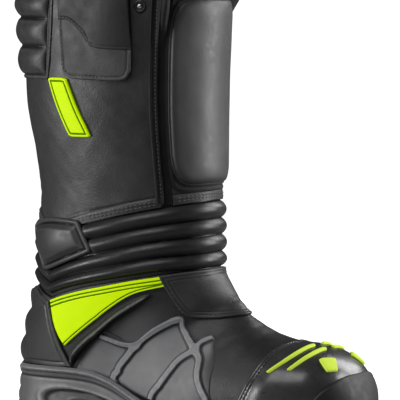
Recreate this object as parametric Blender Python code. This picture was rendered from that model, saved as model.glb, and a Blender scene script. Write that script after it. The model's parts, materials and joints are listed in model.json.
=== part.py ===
"""A firefighter's structural boot, right foot: sole, lasted foot, ankle bellows and high shaft.

The boot points along +X, its outer (lateral) side faces -Y, and the tread stands on Z = 0.
The origin is the middle of the heel's tread. Shapes are worked out from the shaft's centre line,
which stands SHAFT_AHEAD in front of it, and piece() places them.
Every upper piece is a patch of one surface, upper(s, t): s runs from the collar (0) down the
shaft, round the heel and on to the toe, and t is the angle round each section in degrees,
0 at the shin and vamp ridge, 180 at the back and under the foot, positive on the lateral side.
"""

import math

import bmesh
import bpy
import numpy as np

MM = 0.001

# Driving dimensions, in millimetres.
SHAFT_AHEAD = 36
COLLAR_HEIGHT = 358
LEATHER = 2.2
LINING = 1.8
LAYER_GAP = 0.6
BEAD_HEIGHT = 60
LOOP_HINGE_HEIGHT = 366
LOOP_HEIGHT = 30
STRAP_THICKNESS = 2.2
LINING_ROOM = 1.2
FOOT_LINING_ROOM = 3.2
RIB_COUNT = 4
RIB_HEIGHT = 3.6
ANKLE_AXIS = (0, 0, 158)
LOOP_AXIS = (5, 64.4, LOOP_HINGE_HEIGHT)

# Sections: front x, z | back x, z | half width | level of the widest point | roundness of the
# front half and of the back half (2 is an ellipse) | sideways centre.
SECTIONS = np.array([
    (78, COLLAR_HEIGHT, -89, COLLAR_HEIGHT, 62, 0.50, 2.1, 2.1, 0),
    (76, 332, -89, 332, 62, 0.50, 2.1, 2.1, 0),
    (74, 297, -87, 297, 62, 0.50, 2.1, 2.1, 0),
    (73, 262, -85, 262, 61, 0.50, 2.1, 2.1, 0),
    (73, 227, -78, 227, 58, 0.50, 2.1, 2.1, 0),
    (74, 196, -74, 194, 55, 0.50, 2.1, 2.1, 0),
    (75, 166, -76, 162, 54, 0.50, 2.1, 2.1, 0),
    (76, 138, -77, 131, 52, 0.50, 2.1, 2.1, 0),
    (81, 125, -80, 106, 49, 0.50, 2.0, 2.2, 0),
    (87, 116, -88, 78, 46, 0.49, 2.0, 2.2, 0),
    (92, 112, -89, 54, 43, 0.47, 1.9, 2.4, 0),
    (96, 110, -79, 36, 41, 0.42, 1.9, 2.7, 0),
    (101, 106.5, -46, 32, 40, 0.38, 1.9, 3.2, 0),
    (107, 102.5, -4, 29, 40.5, 0.35, 1.9, 3.6, 0),
    (113, 98, 38, 24, 44, 0.33, 2.0, 3.8, 1),
    (120, 93.5, 78, 20, 48, 0.32, 2.0, 4.0, 2),
    (130, 89, 112, 19, 50, 0.33, 2.1, 4.0, 3),
    (144, 85, 139, 20, 50.5, 0.35, 2.2, 4.0, 4),
    (159, 82, 159, 22, 48, 0.38, 2.3, 3.8, 5),
    (174, 78, 175, 24.5, 42.5, 0.42, 2.4, 3.4, 6),
    (187, 69, 187, 26.5, 34, 0.44, 2.4, 3.2, 7),
    (195.5, 57, 195.5, 28, 22, 0.46, 2.4, 3.0, 8),
    (200, 44, 200, 32, 8, 0.50, 2.2, 2.2, 8),
], float)
TOE = len(SECTIONS) - 1

# Where the zones meet, as values of s at the shin. The seams dip towards the back.
BELLOWS_TOP = 5.20
BELLOWS_BOTTOM = 6.92
SEAM_GAP = 0.05

# The angles at which every layer has its edges, so that neighbouring layers have equal facets.
HALF_TURN = np.array([0, 14, 28, 42, 56, 70, 84, 98, 112, 125, 139, 152, 166, 180], float)
RING = np.concatenate([HALF_TURN, 360 - HALF_TURN[-2:0:-1]])


# ---------------------------------------------------------------- the surface

def section(s):
    """The section values at s, on a smooth curve through SECTIONS."""
    s = np.clip(np.asarray(s, float), 0, TOE - 1e-9)
    first = np.floor(s).astype(int)
    f = (s - first)[..., None]
    a, b, c, d = (SECTIONS[np.clip(first + k, 0, TOE)] for k in (-1, 0, 1, 2))
    return b + 0.5 * f * (c - a + f * (2 * a - 5 * b + 4 * c - d + f * (3 * (b - c) + d - a)))


def bare(s, t):
    """The point of the surface at s and t, in millimetres."""
    fx, fz, bx, bz, width, belly, front, back, sway = np.moveaxis(section(s), -1, 0)
    cosine, sine = np.cos(np.radians(t)), np.sin(np.radians(t))
    power = 2 / np.where(cosine > 0, front, back)
    along, across = np.abs(cosine) ** power, np.sign(sine) * np.abs(sine) ** power
    rise = np.where(cosine > 0, belly + (1 - belly) * along, belly * (1 - along))
    return np.stack([bx + (fx - bx) * rise, sway - width * across, bz + (fz - bz) * rise], -1)


def upper(s, t, offset=0.0):
    """The surface moved outwards by offset."""
    s, t, offset = np.broadcast_arrays(*(np.asarray(v, float) for v in (s, t, offset)))
    round_it = bare(s, t + 1.5) - bare(s, t - 1.5)
    down_it = bare(np.minimum(s + 0.02, TOE), t) - bare(np.maximum(s - 0.02, 0), t)
    normal = np.cross(round_it, down_it)
    normal /= np.linalg.norm(normal, axis=-1, keepdims=True)
    return bare(s, t) + normal * offset[..., None]


def dip(t):
    """How far a seam of the ankle zone has sunk at t, in s: lowest at the heel's corners."""
    turn = np.abs((np.asarray(t, float) + 180) % 360 - 180)
    return np.where(turn < 125, 0.9 * (turn / 125) ** 2, np.interp(turn, (125, 150), (0.9, 0.45)))


def span(start, end):
    """The ring angles between start and end, with both ends."""
    every = np.concatenate([RING - 360, RING])
    return np.array([start, *every[(every > start + 4) & (every < end - 4)], end], float)


def edge(points, count):
    """count values of (t, s) along the line through points, evenly spaced in index."""
    points = np.array(points, float)
    where = np.linspace(0, len(points) - 1, count)
    return tuple(np.interp(where, range(len(points)), column) for column in points.T)


# ---------------------------------------------------------------- meshes and materials

def material(name, colour, roughness, metallic=0.0):
    made = bpy.data.materials.new(name)
    made.use_nodes = True
    shader = made.node_tree.nodes["Principled BSDF"]
    shader.inputs["Base Color"].default_value = (*colour, 1)
    shader.inputs["Roughness"].default_value = roughness
    shader.inputs["Metallic"].default_value = metallic
    return made


def piece(name, points, faces, finish, pivot=(0, 0, 0)):
    """An object from points in millimetres, with its origin at pivot."""
    mesh = bpy.data.meshes.new(name)
    pivot = np.array(pivot, float)
    ahead = np.array([SHAFT_AHEAD, 0, 0])
    mesh.from_pydata(((np.asarray(points) - pivot) * MM).tolist(), [], [list(f) for f in faces])
    body = bmesh.new()
    body.from_mesh(mesh)
    bmesh.ops.recalc_face_normals(body, faces=body.faces)
    body.to_mesh(mesh)
    body.free()
    mesh.shade_smooth()
    mesh.set_sharp_from_angle(angle=math.radians(35))
    mesh.materials.append(finish)
    made = bpy.data.objects.new(name, mesh)
    made.location = (pivot + ahead) * MM
    bpy.context.scene.collection.objects.link(made)
    return made


def grid_faces(rows, columns, start, wrap):
    """Quads of a grid whose vertices begin at start."""
    last = columns if wrap else columns - 1
    return [
        (start + i * columns + j, start + i * columns + (j + 1) % columns,
         start + (i + 1) * columns + (j + 1) % columns, start + (i + 1) * columns + j)
        for i in range(rows - 1) for j in range(last)
    ]


def slab(name, outer, inner, finish, wrap=False, **options):
    """A closed solid between two grids of points of one size."""
    rows, columns = outer.shape[:2]
    half = rows * columns
    faces = grid_faces(rows, columns, 0, wrap) + grid_faces(rows, columns, half, wrap)
    rim = [[i * columns + j for j in range(columns)] for i in (0, rows - 1)]
    if not wrap:
        rim += [[i * columns + j for i in range(rows)] for j in (0, columns - 1)]
    for line in rim:
        ring = line + line[:1] if wrap else line
        faces += [(a, b, b + half, a + half) for a, b in zip(ring, ring[1:])]
    points = np.concatenate([outer.reshape(-1, 3), inner.reshape(-1, 3)])
    return piece(name, points, faces, finish, **options)


def capped(name, rings, finish):
    """A closed solid from a stack of rings, each end filled with one face."""
    rows, columns = rings.shape[:2]
    faces = grid_faces(rows, columns, 0, True)
    faces += [range(columns), range((rows - 1) * columns, rows * columns)]
    return piece(name, rings.reshape(-1, 3), faces, finish)


def bag(name, outer, inner, finish):
    """A shell that is open at its first ring and closed at its last."""
    rows, columns = outer.shape[:2]
    half = rows * columns
    faces = grid_faces(rows, columns, 0, True) + grid_faces(rows, columns, half, True)
    faces += [(j, (j + 1) % columns, half + (j + 1) % columns, half + j) for j in range(columns)]
    faces += [range(half - columns, half), range(2 * half - columns, 2 * half)]
    points = np.concatenate([outer.reshape(-1, 3), inner.reshape(-1, 3)])
    return piece(name, points, faces, finish)


def crown(rows, columns, low, high):
    """Offsets that are high inside a patch and low along its border."""
    height = np.full((rows, columns), float(low))
    height[1:-1, 1:-1] = high
    return height


def patch(name, top, bottom, finish, rows=4, columns=6, base=LAYER_GAP, low=1.6, high=2.4,
          side=1):
    """A raised panel ruled between two lines of (t, s). side is 1 lateral, -1 medial."""
    t0, s0 = edge(top, columns)
    t1, s1 = edge(bottom, columns)
    f = np.linspace(0, 1, rows)[:, None]
    s, t = s0 + (s1 - s0) * f, side * (t0 + (t1 - t0) * f)
    outer = upper(s, t, crown(rows, columns, base + low, base + high))
    return slab(name, outer, upper(s, t, base), finish)


def both_sides(name, *shape, **options):
    """The lateral and the medial copy of one patch."""
    for word, side in (("lateral", 1), ("medial", -1)):
        patch(f"{word}_{name}", *shape, side=side, **options)


def boolean(target, cutter, operation="DIFFERENCE"):
    cutter.hide_render = True
    cutter.display_type = "WIRE"
    change = target.modifiers.new(operation.title(), "BOOLEAN")
    change.operation = operation
    change.solver = "EXACT"
    change.object = cutter


# ---------------------------------------------------------------- shaft

def shell(name, s0, s1, angles, offsets, finish, rows):
    """A layer between two seams, which may be functions of t. RING as angles closes it round."""
    wrap = angles is RING
    t = angles[None, :]
    start = s0(t) if callable(s0) else np.full(t.shape, float(s0))
    end = s1(t) if callable(s1) else np.full(t.shape, float(s1))
    s = start + (end - start) * np.linspace(0, 1, rows)[:, None]
    t = np.broadcast_to(t, s.shape)
    return slab(name, upper(s, t, max(offsets)), upper(s, t, min(offsets)), finish, wrap)


def above_bellows(t):
    return BELLOWS_TOP - SEAM_GAP + dip(t)


def below_bellows(t):
    return BELLOWS_BOTTOM + SEAM_GAP + dip(t)


def make_shaft(leather, lining, rubber):
    outside = (-LEATHER, 0)
    inside = (-LEATHER - LINING_ROOM - LINING, -LEATHER - LINING_ROOM)
    shell("front_shin_panel", 0, above_bellows, span(-41, 41), outside, leather, 7)
    shell("shaft_quarter", 0, above_bellows, span(50.6, 309.4), outside, leather, 7)
    shell("shaft_lining", 0, above_bellows, RING, inside, lining, 7)
    for word, side in (("lateral", 1), ("medial", -1)):
        make_gusset(f"{word}_gusset", side, leather)
    both_sides("seam_strip", [(51, 0.2), (54, 0.2)], [(51, 5.18), (54, 5.2)], leather,
               rows=7, columns=2, low=0.9, high=0.9)
    make_shin_pad(rubber)
    make_collar(leather)


def make_gusset(name, side, finish):
    """The soft fold beside the shin pad, which opens outwards at the collar."""
    s = np.array([0, 0.5, 1.0, 1.6, 2.8, 5.1])[:, None]
    t = side * np.linspace(41.6, 50, 3)[None, :] + 0 * s
    flare = 15 * np.clip(1 - s / 1.6, 0, 1) + 0 * t
    slab(name, upper(s, t, flare), upper(s, t, flare - LEATHER), finish)


def make_shin_pad(finish):
    rows, columns = 9, 9
    across = np.linspace(-1, 1, columns)[None, :]
    down = np.linspace(-1, 1, rows)[:, None]
    t = 40 * across * (1 - 0.12 * np.abs(down) ** 8)
    s = 2.76 + 2.04 * down * (1 - 0.06 * np.abs(across) ** 6)
    dome = 3.2 * (1 - across ** 4) * (1 - down ** 8) + 2.0
    slab("shin_pad", upper(s, t, LAYER_GAP + dome), upper(s, t, LAYER_GAP), finish)


def make_collar(finish):
    """The padded ribs at the back and the rolled edge round the top."""
    ribs, per_rib = 3, 2
    rows = ribs * per_rib + 1
    s = np.linspace(0.42, 2.32, rows)[:, None]
    t = np.linspace(121, 239, 11)[None, :] + 0 * s
    puff = np.abs(np.sin(math.pi * np.linspace(0, ribs, rows)))[:, None]
    side = np.sin(math.pi * np.linspace(0.04, 0.96, 11))[None, :] ** 0.4
    slab("collar_back_pad", upper(s, t, LAYER_GAP + 1.4 + 5.5 * puff * side),
         upper(s, t, LAYER_GAP), finish)
    turn = np.linspace(0, 360, 6, endpoint=False)
    angle = np.linspace(0, 360, 24, endpoint=False)
    radius = 3.2
    rings = [
        upper(0, angle, -2.6 + radius * math.cos(math.radians(a)))
        + np.array([0, 0, radius + 0.5 + radius * math.sin(math.radians(a))]) for a in turn
    ]
    tube = np.stack(rings)
    faces = grid_faces(6, 24, 0, True)
    faces += [(5 * 24 + j, 5 * 24 + (j + 1) % 24, (j + 1) % 24, j) for j in range(24)]
    piece("collar_binding", tube.reshape(-1, 3), faces, finish)


STRAP_EDGE = [(102, 1.04), (96, 1.08), (89, 1.33), (82, 1.62), (61, 1.68)]
SEWN_GAP = 0.04


def make_pull_loops(leather, webbing, steel):
    """Each side: strap base with a patch below its curved edge, swinging loop and stud."""
    both_sides("strap_base", [(101, 0.02), (64, 0.02)], STRAP_EDGE, webbing, rows=4, columns=7,
               low=1.6, high=STRAP_THICKNESS)
    both_sides("strap_patch", [(t, s + SEWN_GAP) for t, s in STRAP_EDGE],
               [(100, 2.2), (97, 2.36), (85, 2.38), (66, 2.37), (61.2, 2.2)], leather,
               rows=3, columns=7, low=1.2, high=2.0)
    for word, side in (("lateral", 1), ("medial", -1)):
        make_loop(word, side, webbing)
        s, t = 0.78, side * 57.2
        make_stud(f"{word}_stud", s, t, steel)


def make_loop(word, side, finish):
    t = side * np.linspace(66, 101, 5)
    thick = STRAP_THICKNESS
    foot = upper(0, t, LAYER_GAP)
    out = (upper(0, t, LAYER_GAP + thick) - foot) / thick
    lift = LOOP_HINGE_HEIGHT - COLLAR_HEIGHT
    pivot = np.array(LOOP_AXIS) * (1, -side, 1)
    profile = [(0, lift), (0.6, lift + 8), (1.5, lift + LOOP_HEIGHT - 4), (3.5, lift + LOOP_HEIGHT),
               (5.5, lift + LOOP_HEIGHT - 4), (3.4, lift + 8), (thick, lift)]
    rows = [foot + out * o + np.array([0, 0, z]) for o, z in profile]
    ring = np.stack(rows)
    count = len(t)
    faces = grid_faces(len(profile), count, 0, False)
    closing = (len(profile) - 1) * count
    faces += [(closing + j, closing + j + 1, j + 1, j) for j in range(count - 1)]
    faces += [[i * count + j for i in range(len(profile))] for j in (0, count - 1)]
    piece(f"{word}_pull_loop", ring.reshape(-1, 3), faces, finish, pivot=pivot)


def make_stud(name, s, t, finish):
    base = upper(s, t, LAYER_GAP)
    out = upper(s, t, LAYER_GAP + 1) - base
    up = np.array([0, 0, 1.0])
    side = np.cross(up, out)
    angle = np.radians(np.linspace(0, 360, 10, endpoint=False))
    rings = [
        [base + out * h + r * (math.cos(a) * up + math.sin(a) * side) for a in angle]
        for r, h in ((3.6, 0), (3.6, 0.9), (1.9, 1.1), (1.9, 2.2), (1.0, 2.8))
    ]
    capped(name, np.array(rings), finish)


# ---------------------------------------------------------------- ankle

def under_protector(s, t):
    """1 where an ankle protector lies over the bellows, 0 elsewhere."""
    turn = np.abs((t + 180) % 360 - 180)
    return ((turn > 80) & (turn < 160) & (s < 6.95)).astype(float)


def make_ankle(rubber, lining):
    rows = RIB_COUNT * 2 + 1
    t = RING[None, :]
    share = np.linspace(0, 1, rows)[:, None]
    s = BELLOWS_TOP + dip(t) + (BELLOWS_BOTTOM - BELLOWS_TOP) * share
    rib = RIB_HEIGHT * (np.arange(rows) % 2 > 0)[:, None] * (1 - under_protector(s, t))
    t = np.broadcast_to(t, s.shape)
    slab("ankle_bellows", upper(s, t, rib - 0.2), upper(s, t, -LEATHER), rubber, True)
    depth = -LEATHER - LINING_ROOM
    shell("ankle_lining", lambda a: above_bellows(a) + 0.05, lambda a: below_bellows(a) - 0.1,
          RING, (depth - LINING, depth), lining, 3)
    both_sides("ankle_protector", [(150, 5.8), (121, 5.62), (98, 5.62)],
               [(130, 6.76), (112, 6.62), (91, 6.33)], rubber, rows=4, columns=7,
               base=LAYER_GAP + 0.3, low=2.2, high=4.4)


# ---------------------------------------------------------------- foot

def make_foot(leather, lining, board, steel, foam):
    vamp_start = 12.6
    shell("foot_quarter", below_bellows, vamp_start - 0.04, RING, (-LEATHER, 0), leather, 11)
    t = RING[None, :]
    s = np.array([*np.linspace(vamp_start + 0.04, 18.8, 8), 19.8, 20.7, 21.4, 21.9])[:, None]
    bag("vamp", upper(s, t), upper(s, t, -LEATHER), leather)
    depth = -LEATHER - FOOT_LINING_ROOM
    s = below_bellows(t) + 0.02
    s = s + (20.4 - s) * np.linspace(0, 1, 10)[:, None]
    bag("foot_lining", upper(s, t + 0 * s, depth), upper(s, t + 0 * s, depth - LINING), lining)
    layer = -LEATHER - 0.9
    shell("toe_cap", 16.7, 20.9, span(-105, 105), (layer - 1.5, layer), steel, 7)
    shell("heel_stiffener", 8.5, 10.45, span(108, 252), (layer - 1.4, layer), foam, 5)
    shell("insole_board", 11.4, 20.2, span(128, 232), (layer - 1.4, layer), board, 8)
    make_footbed(depth - LINING, foam)


def make_footbed(bottom, finish):
    """The loose inner sole, which lifts out."""
    shell("footbed", 11.8, 19.2, span(132, 228), (bottom - 4.8, bottom - 1.2), finish, 9)


def make_foot_covers(leather, rubber, web, vivid):
    patch("instep_panel",
          [(-50, 7.14), (-36, 7.06), (-18, 7.02), (0, 7.0), (18, 7.02), (36, 7.06), (50, 7.14)],
          [(-45, 8.9), (-38, 10.7), (-23, 11.95), (0, 12.5), (23, 11.95), (38, 10.7), (45, 8.9)],
          leather, rows=7, columns=9, base=LAYER_GAP + 0.2, low=1.2, high=1.6)
    patch("heel_counter",
          [(126, 7.98), (150, 7.55), (180, 7.52), (210, 7.55), (234, 7.98)],
          [(104, 10.4), (134, 9.95), (180, 9.62), (226, 9.95), (256, 10.4)],
          leather, rows=5, columns=13, base=LAYER_GAP + 0.2, low=1.2, high=2.4)
    both_sides("hi_vis_panel", [(124, 7.95), (105, 7.72), (86, 7.5), (68, 7.3), (51, 7.2)],
               [(107, 9.66), (95, 9.08), (84, 8.5), (69, 7.95), (49, 7.65)], vivid,
               rows=3, columns=9, low=1.0, high=1.6)
    both_sides("fin", [(99.5, 9.86), (92, 9.42), (79, 8.72), (66, 8.24)],
               [(100, 10.7), (94, 10.0), (81, 9.1), (67, 8.5)], rubber,
               rows=3, columns=6, low=1.6, high=4.6)
    both_sides("side_web",
               [(91, 10.25), (80, 9.35), (67, 8.68), (53, 8.6), (47, 9.4), (42, 10.5),
                (40, 12.0), (42, 13.3), (46, 14.3)],
               [(96, 10.9), (91, 11.4), (88, 11.9), (88, 12.3), (89, 12.7), (93, 13.2),
                (99, 13.7), (99, 14.2), (97, 14.8)], web,
               rows=5, columns=12, base=LAYER_GAP + 0.3, low=1.2, high=2.0)


def toe_seam(t):
    """Where the toe cover begins, in s."""
    return 16.95 - 0.85 * np.clip(np.abs(t) / 90, 0, 1)


def make_toe(rubber, vivid, bumper):
    base = LAYER_GAP + 0.4
    t = np.linspace(-99, 99, 15)[None, :]
    share = np.array([0, 0.2, 0.4, 0.57, 0.72, 0.85, 0.95, 1])[:, None]
    s = toe_seam(t) + (21.85 - toe_seam(t)) * share
    t = t + 0 * s
    cover = 1.2
    slab("toe_cover", upper(s, t, base + cover), upper(s, t, base), rubber)
    top = base + cover + LAYER_GAP + 0.4
    ridge = edge([(-92, 19.2), (-62, 19.98), (-30, 20.42), (0, 20.54), (30, 20.42), (62, 19.98),
                  (92, 19.2)], 11)
    t = ridge[0][None, :]
    s = ridge[1][None, :] + (21.8 - ridge[1][None, :]) * np.linspace(0, 1, 5)[:, None]
    t = t + 0 * s
    thick = crown(5, 11, 1.2, 2.0)
    thick[-1, 1:-1] = 2.0
    slab("toe_bumper", upper(s, t, top + thick), upper(s, t, top), bumper)
    both_sides("rear_toe_bar", [(60, 16.98), (28, 17.86), (5, 18.04)],
               [(60, 17.22), (28, 18.10), (5, 18.28)], vivid,
               rows=2, columns=6, base=top, low=2.4, high=2.4)
    both_sides("front_toe_bar", [(56, 17.88), (27, 18.48), (5, 18.62)],
               [(56, 18.12), (27, 18.72), (5, 18.86)], vivid,
               rows=2, columns=6, base=top, low=2.4, high=2.4)
    both_sides("toe_badge", [(32, 18.98), (14, 19.46)], [(46, 19.50), (33, 19.92)], vivid,
               rows=2, columns=3, base=top, low=2.2, high=2.2)


def make_shaft_badges(vivid):
    both_sides("shaft_badge", [(110, 2.32), (100, 2.32)], [(98, 3.66), (88, 3.66)], vivid,
               rows=5, columns=3, low=1.4, high=2.2)


# ---------------------------------------------------------------- sole

OUTLINE = [(-95, 0), (-89, -22), (-71, -39), (-40, -44), (0, -44), (40, -47), (80, -52),
           (120, -55), (154, -52), (182, -37), (199, -16), (205, 8), (199, 30), (182, 46),
           (154, 57), (120, 59), (80, 54), (40, 46), (0, 44), (-40, 44), (-71, 39), (-89, 22)]


def outline(grow, count=44):
    """The sole's plan as a smooth closed curve, grown outwards by grow."""
    knots = np.array(OUTLINE, float)
    where = np.linspace(0, len(knots), count, endpoint=False)
    first = where.astype(int)
    f = (where - first)[:, None]
    a, b, c, d = (knots[(first + k) % len(knots)] for k in (-1, 0, 1, 2))
    points = b + 0.5 * f * (c - a + f * (2 * a - 5 * b + 4 * c - d + f * (3 * (b - c) + d - a)))
    ahead = np.roll(points, -1, 0) - np.roll(points, 1, 0)
    outward = np.stack([ahead[:, 1], -ahead[:, 0]], 1)
    outward /= np.linalg.norm(outward, axis=1, keepdims=True)
    return points + outward * grow


def toe_spring(x):
    return 9 * np.clip((x - 125) / 84, 0, 1) ** 2


def tread_top(x):
    """Height of the joint between outsole and midsole."""
    return np.interp(x, (-100, -20, 50, 90), (20, 19, 11, 9.5)) + toe_spring(x)


def rim_top(x):
    """Height of the midsole's upper rim."""
    return np.interp(x, (-100, -20, 0, 20, 40, 60, 80, 150, 210),
                     (BEAD_HEIGHT, BEAD_HEIGHT, 57, 48, 37, 31, 28, 30, 36))


def make_sole(rubber, web, steel, fabric):
    make_outsole(rubber)
    make_midsole(web)
    shell("puncture_plate", 11.9, 20.6, span(134, 226), (1.0, 1.9), fabric, 10)
    shell("shank", 12.2, 14.0, span(172, 188), (2.5, 3.9), steel, 5)


def sole_block(name, levels, finish):
    """A closed block from stacked plans, its top and bottom ruled straight across the foot."""
    rows, columns = np.shape(levels)[:2]
    faces = grid_faces(rows, columns, 0, True)
    for start in (0, (rows - 1) * columns):
        end = start + columns
        faces += [(start + i, start + i + 1, end - i - 1, end - i)
                  for i in range(1, columns // 2 - 1)]
        faces += [(start, start + 1, start + columns - 1),
                  (start + columns // 2, start + columns // 2 - 1, start + columns // 2 + 1)]
    return piece(name, np.reshape(levels, (-1, 3)), faces, finish)


def make_outsole(finish):
    levels = []
    for grow, share in ((-5, None), (-1, 0.0), (1.5, 0.25), (2.5, 1.0)):
        plan = outline(grow)
        x = plan[:, 0]
        low = toe_spring(x)
        high = tread_top(x)
        z = low if share is None else low + 1.5 + (high - low - 1.5) * share
        levels.append(np.column_stack([plan, z]))
    sole = sole_block("outsole", levels, finish)
    boolean(sole, tread_cutter())


def tread_cutter():
    """Grooves across the forefoot and heel, and the hollow of the arch."""
    slots = [(x, 2.6, 4.5 + toe_spring(x)) for x in (72, 92, 112, 132, 152, 172)]
    slots += [(x, 2.6, 4.5) for x in (-72, -52)]
    slots.append((16, 34, 7))
    points, faces = [], []
    for x, half, depth in slots:
        start = len(points)
        points += [(x + i * half, j * 80, k) for i in (-1, 1) for j in (-1, 1) for k in (-5, depth)]
        faces += [tuple(start + v for v in face) for face in
                  ((0, 1, 3, 2), (4, 6, 7, 5), (0, 4, 5, 1), (2, 3, 7, 6), (0, 2, 6, 4), (1, 5, 7, 3))]
    return piece("tread_cutter", points, faces, bpy.data.materials["rubber"])


def make_midsole(finish):
    levels = []
    for grow, share in ((2.0, 0.0), (1.0, 0.35), (-0.5, 0.75), (0.6, 0.9), (-1.2, 1.0)):
        plan = outline(grow)
        x = plan[:, 0]
        low = tread_top(x) + 0.4
        levels.append(np.column_stack([plan, low + (rim_top(x) - low) * share]))
    sole = sole_block("midsole", levels, finish)
    t = RING[None, :]
    s = np.array([*np.linspace(7.5, 18.5, 15), 19.4, 20.2, 20.9, 21.5, 21.95])[:, None]
    sunk = np.clip((np.abs(t) - 112) / 16, 0, 1)
    covers = 3.4 * np.clip((s - 15.5) / 0.8, 0, 1) + 3.4 * np.clip((s - 18.2) / 0.8, 0, 1)
    room = LAYER_GAP + 0.3 + 2.3 * sunk + covers * (1 - sunk)
    last = capped("last_cutter", upper(s, t, room), finish)
    boolean(sole, last)
    s = np.linspace(11.6, 14.3, 6)[:, None]
    t = np.linspace(166, 194, 3)[None, :] + 0 * s
    slot = slab("shank_cutter", upper(s, t, 4.3), upper(s, t, 1.0), finish)
    boolean(sole, slot)


# ---------------------------------------------------------------- the boot

SHAFT_WORDS = ("shaft", "shin", "gusset", "seam_strip", "collar", "strap", "pull_loop", "stud",
               "shaft_badge")


def hang_shaft_on_ankle():
    """Parents the shaft's pieces to an empty on the ankle's axis, leaving them where they are."""
    axis = bpy.data.objects.new("ankle_axis", None)
    axis.location = (np.array(ANKLE_AXIS) + (SHAFT_AHEAD, 0, 0)) * MM
    bpy.context.scene.collection.objects.link(axis)
    for made in list(bpy.data.objects):
        if made.type == "MESH" and any(word in made.name for word in SHAFT_WORDS):
            made.parent = axis
            made.location = made.location - axis.location


def main():
    for old in list(bpy.data.objects):
        bpy.data.objects.remove(old)
    leather = material("black_leather", (0.025, 0.025, 0.027), 0.42)
    rubber = material("rubber", (0.03, 0.03, 0.032), 0.55)
    web = material("grey_rubber", (0.12, 0.12, 0.125), 0.5)
    vivid = material("hi_vis_yellow", (0.72, 0.92, 0.0), 0.45)
    lining = material("lining_fabric", (0.05, 0.05, 0.055), 0.9)
    webbing = material("webbing", (0.02, 0.02, 0.022), 0.7)
    steel = material("steel", (0.6, 0.6, 0.62), 0.3, 1.0)
    board = material("insole_fibre", (0.45, 0.38, 0.28), 0.8)
    fabric = material("plate_fabric", (0.6, 0.52, 0.3), 0.8)
    foam = material("foam", (0.06, 0.06, 0.065), 0.8)
    make_sole(rubber, web, steel, fabric)
    make_foot(leather, lining, board, steel, foam)
    make_foot_covers(leather, rubber, web, vivid)
    make_toe(rubber, vivid, rubber)
    make_ankle(rubber, lining)
    make_shaft(leather, lining, rubber)
    make_pull_loops(leather, webbing, steel)
    make_shaft_badges(vivid)
    hang_shaft_on_ankle()


main()
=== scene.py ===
"""The looks of the firefighter's boot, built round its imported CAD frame.

Shapes are worked out in design millimetres from the shaft's centre line, +X to the toe and -Y to
the lateral side, and place() brings them to the frame. Every upper piece is a relief on one
surface, upper(s, t): s runs from the collar (0) down the shaft and round the heel to the toe, and
t is the angle round each section in degrees, 0 at the shin and vamp ridge, 180 at the back and
under the foot, positive on the lateral side.
"""
import json
import math

import bpy
import numpy as np
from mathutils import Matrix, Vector, kdtree


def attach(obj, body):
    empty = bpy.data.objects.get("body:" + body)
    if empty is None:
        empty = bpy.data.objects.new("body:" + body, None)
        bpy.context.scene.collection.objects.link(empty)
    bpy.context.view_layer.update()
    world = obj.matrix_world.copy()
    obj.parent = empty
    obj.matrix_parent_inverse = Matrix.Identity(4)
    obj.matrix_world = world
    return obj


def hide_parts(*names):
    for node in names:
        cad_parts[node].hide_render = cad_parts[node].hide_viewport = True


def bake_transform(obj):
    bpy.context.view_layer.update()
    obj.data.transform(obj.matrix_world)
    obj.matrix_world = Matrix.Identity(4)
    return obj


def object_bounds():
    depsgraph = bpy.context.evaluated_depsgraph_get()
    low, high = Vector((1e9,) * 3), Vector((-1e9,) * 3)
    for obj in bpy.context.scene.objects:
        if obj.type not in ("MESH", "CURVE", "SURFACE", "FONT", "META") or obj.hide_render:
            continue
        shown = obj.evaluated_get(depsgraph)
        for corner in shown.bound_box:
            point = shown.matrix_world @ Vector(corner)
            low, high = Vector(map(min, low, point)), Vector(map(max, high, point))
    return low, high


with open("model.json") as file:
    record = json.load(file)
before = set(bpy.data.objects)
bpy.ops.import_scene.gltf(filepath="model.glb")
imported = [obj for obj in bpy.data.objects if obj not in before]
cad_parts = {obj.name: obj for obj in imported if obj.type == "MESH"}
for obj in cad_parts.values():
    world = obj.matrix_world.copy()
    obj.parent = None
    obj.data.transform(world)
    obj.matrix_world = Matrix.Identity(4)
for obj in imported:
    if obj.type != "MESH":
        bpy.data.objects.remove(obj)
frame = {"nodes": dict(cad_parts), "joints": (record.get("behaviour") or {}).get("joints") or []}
CAD_LOW, CAD_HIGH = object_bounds()
JOINTS = {joint["name"]: joint for joint in frame["joints"]}

# ---------------------------------------------------------------- driving dimensions
SOLE_LENGTH = 305.0                                   # of the CAD sole, in design millimetres
MM = (CAD_HIGH.x - CAD_LOW.x) / SOLE_LENGTH           # one design millimetre, in metres
SHAFT_X = JOINTS["ankle_flex"]["pos_m"][0]            # the shaft's centre line, in the frame
LOOP_Z = JOINTS["lateral_loop_fold"]["pos_m"][2] / MM  # the pull loops' hinge
COLLAR = 358.0                                        # the collar's height
LEATHER, LINING = 2.2, 1.8                            # thicknesses
TOE = 22                                              # s at the toe's tip
SPLIT = 12.60                                         # s where the vamp meets the foot's back
BELLOWS_TOP, BELLOWS_BOTTOM = 5.20, 6.92              # s of the ribbed zone at the front
RIBS = 4
RIB_SHARE = 0.93                                      # of the bellows, above its flat foot
BEAD = 60.0                                           # height of the sole's rim at the heel
SIDES = (("lateral", 1), ("medial", -1))

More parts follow.
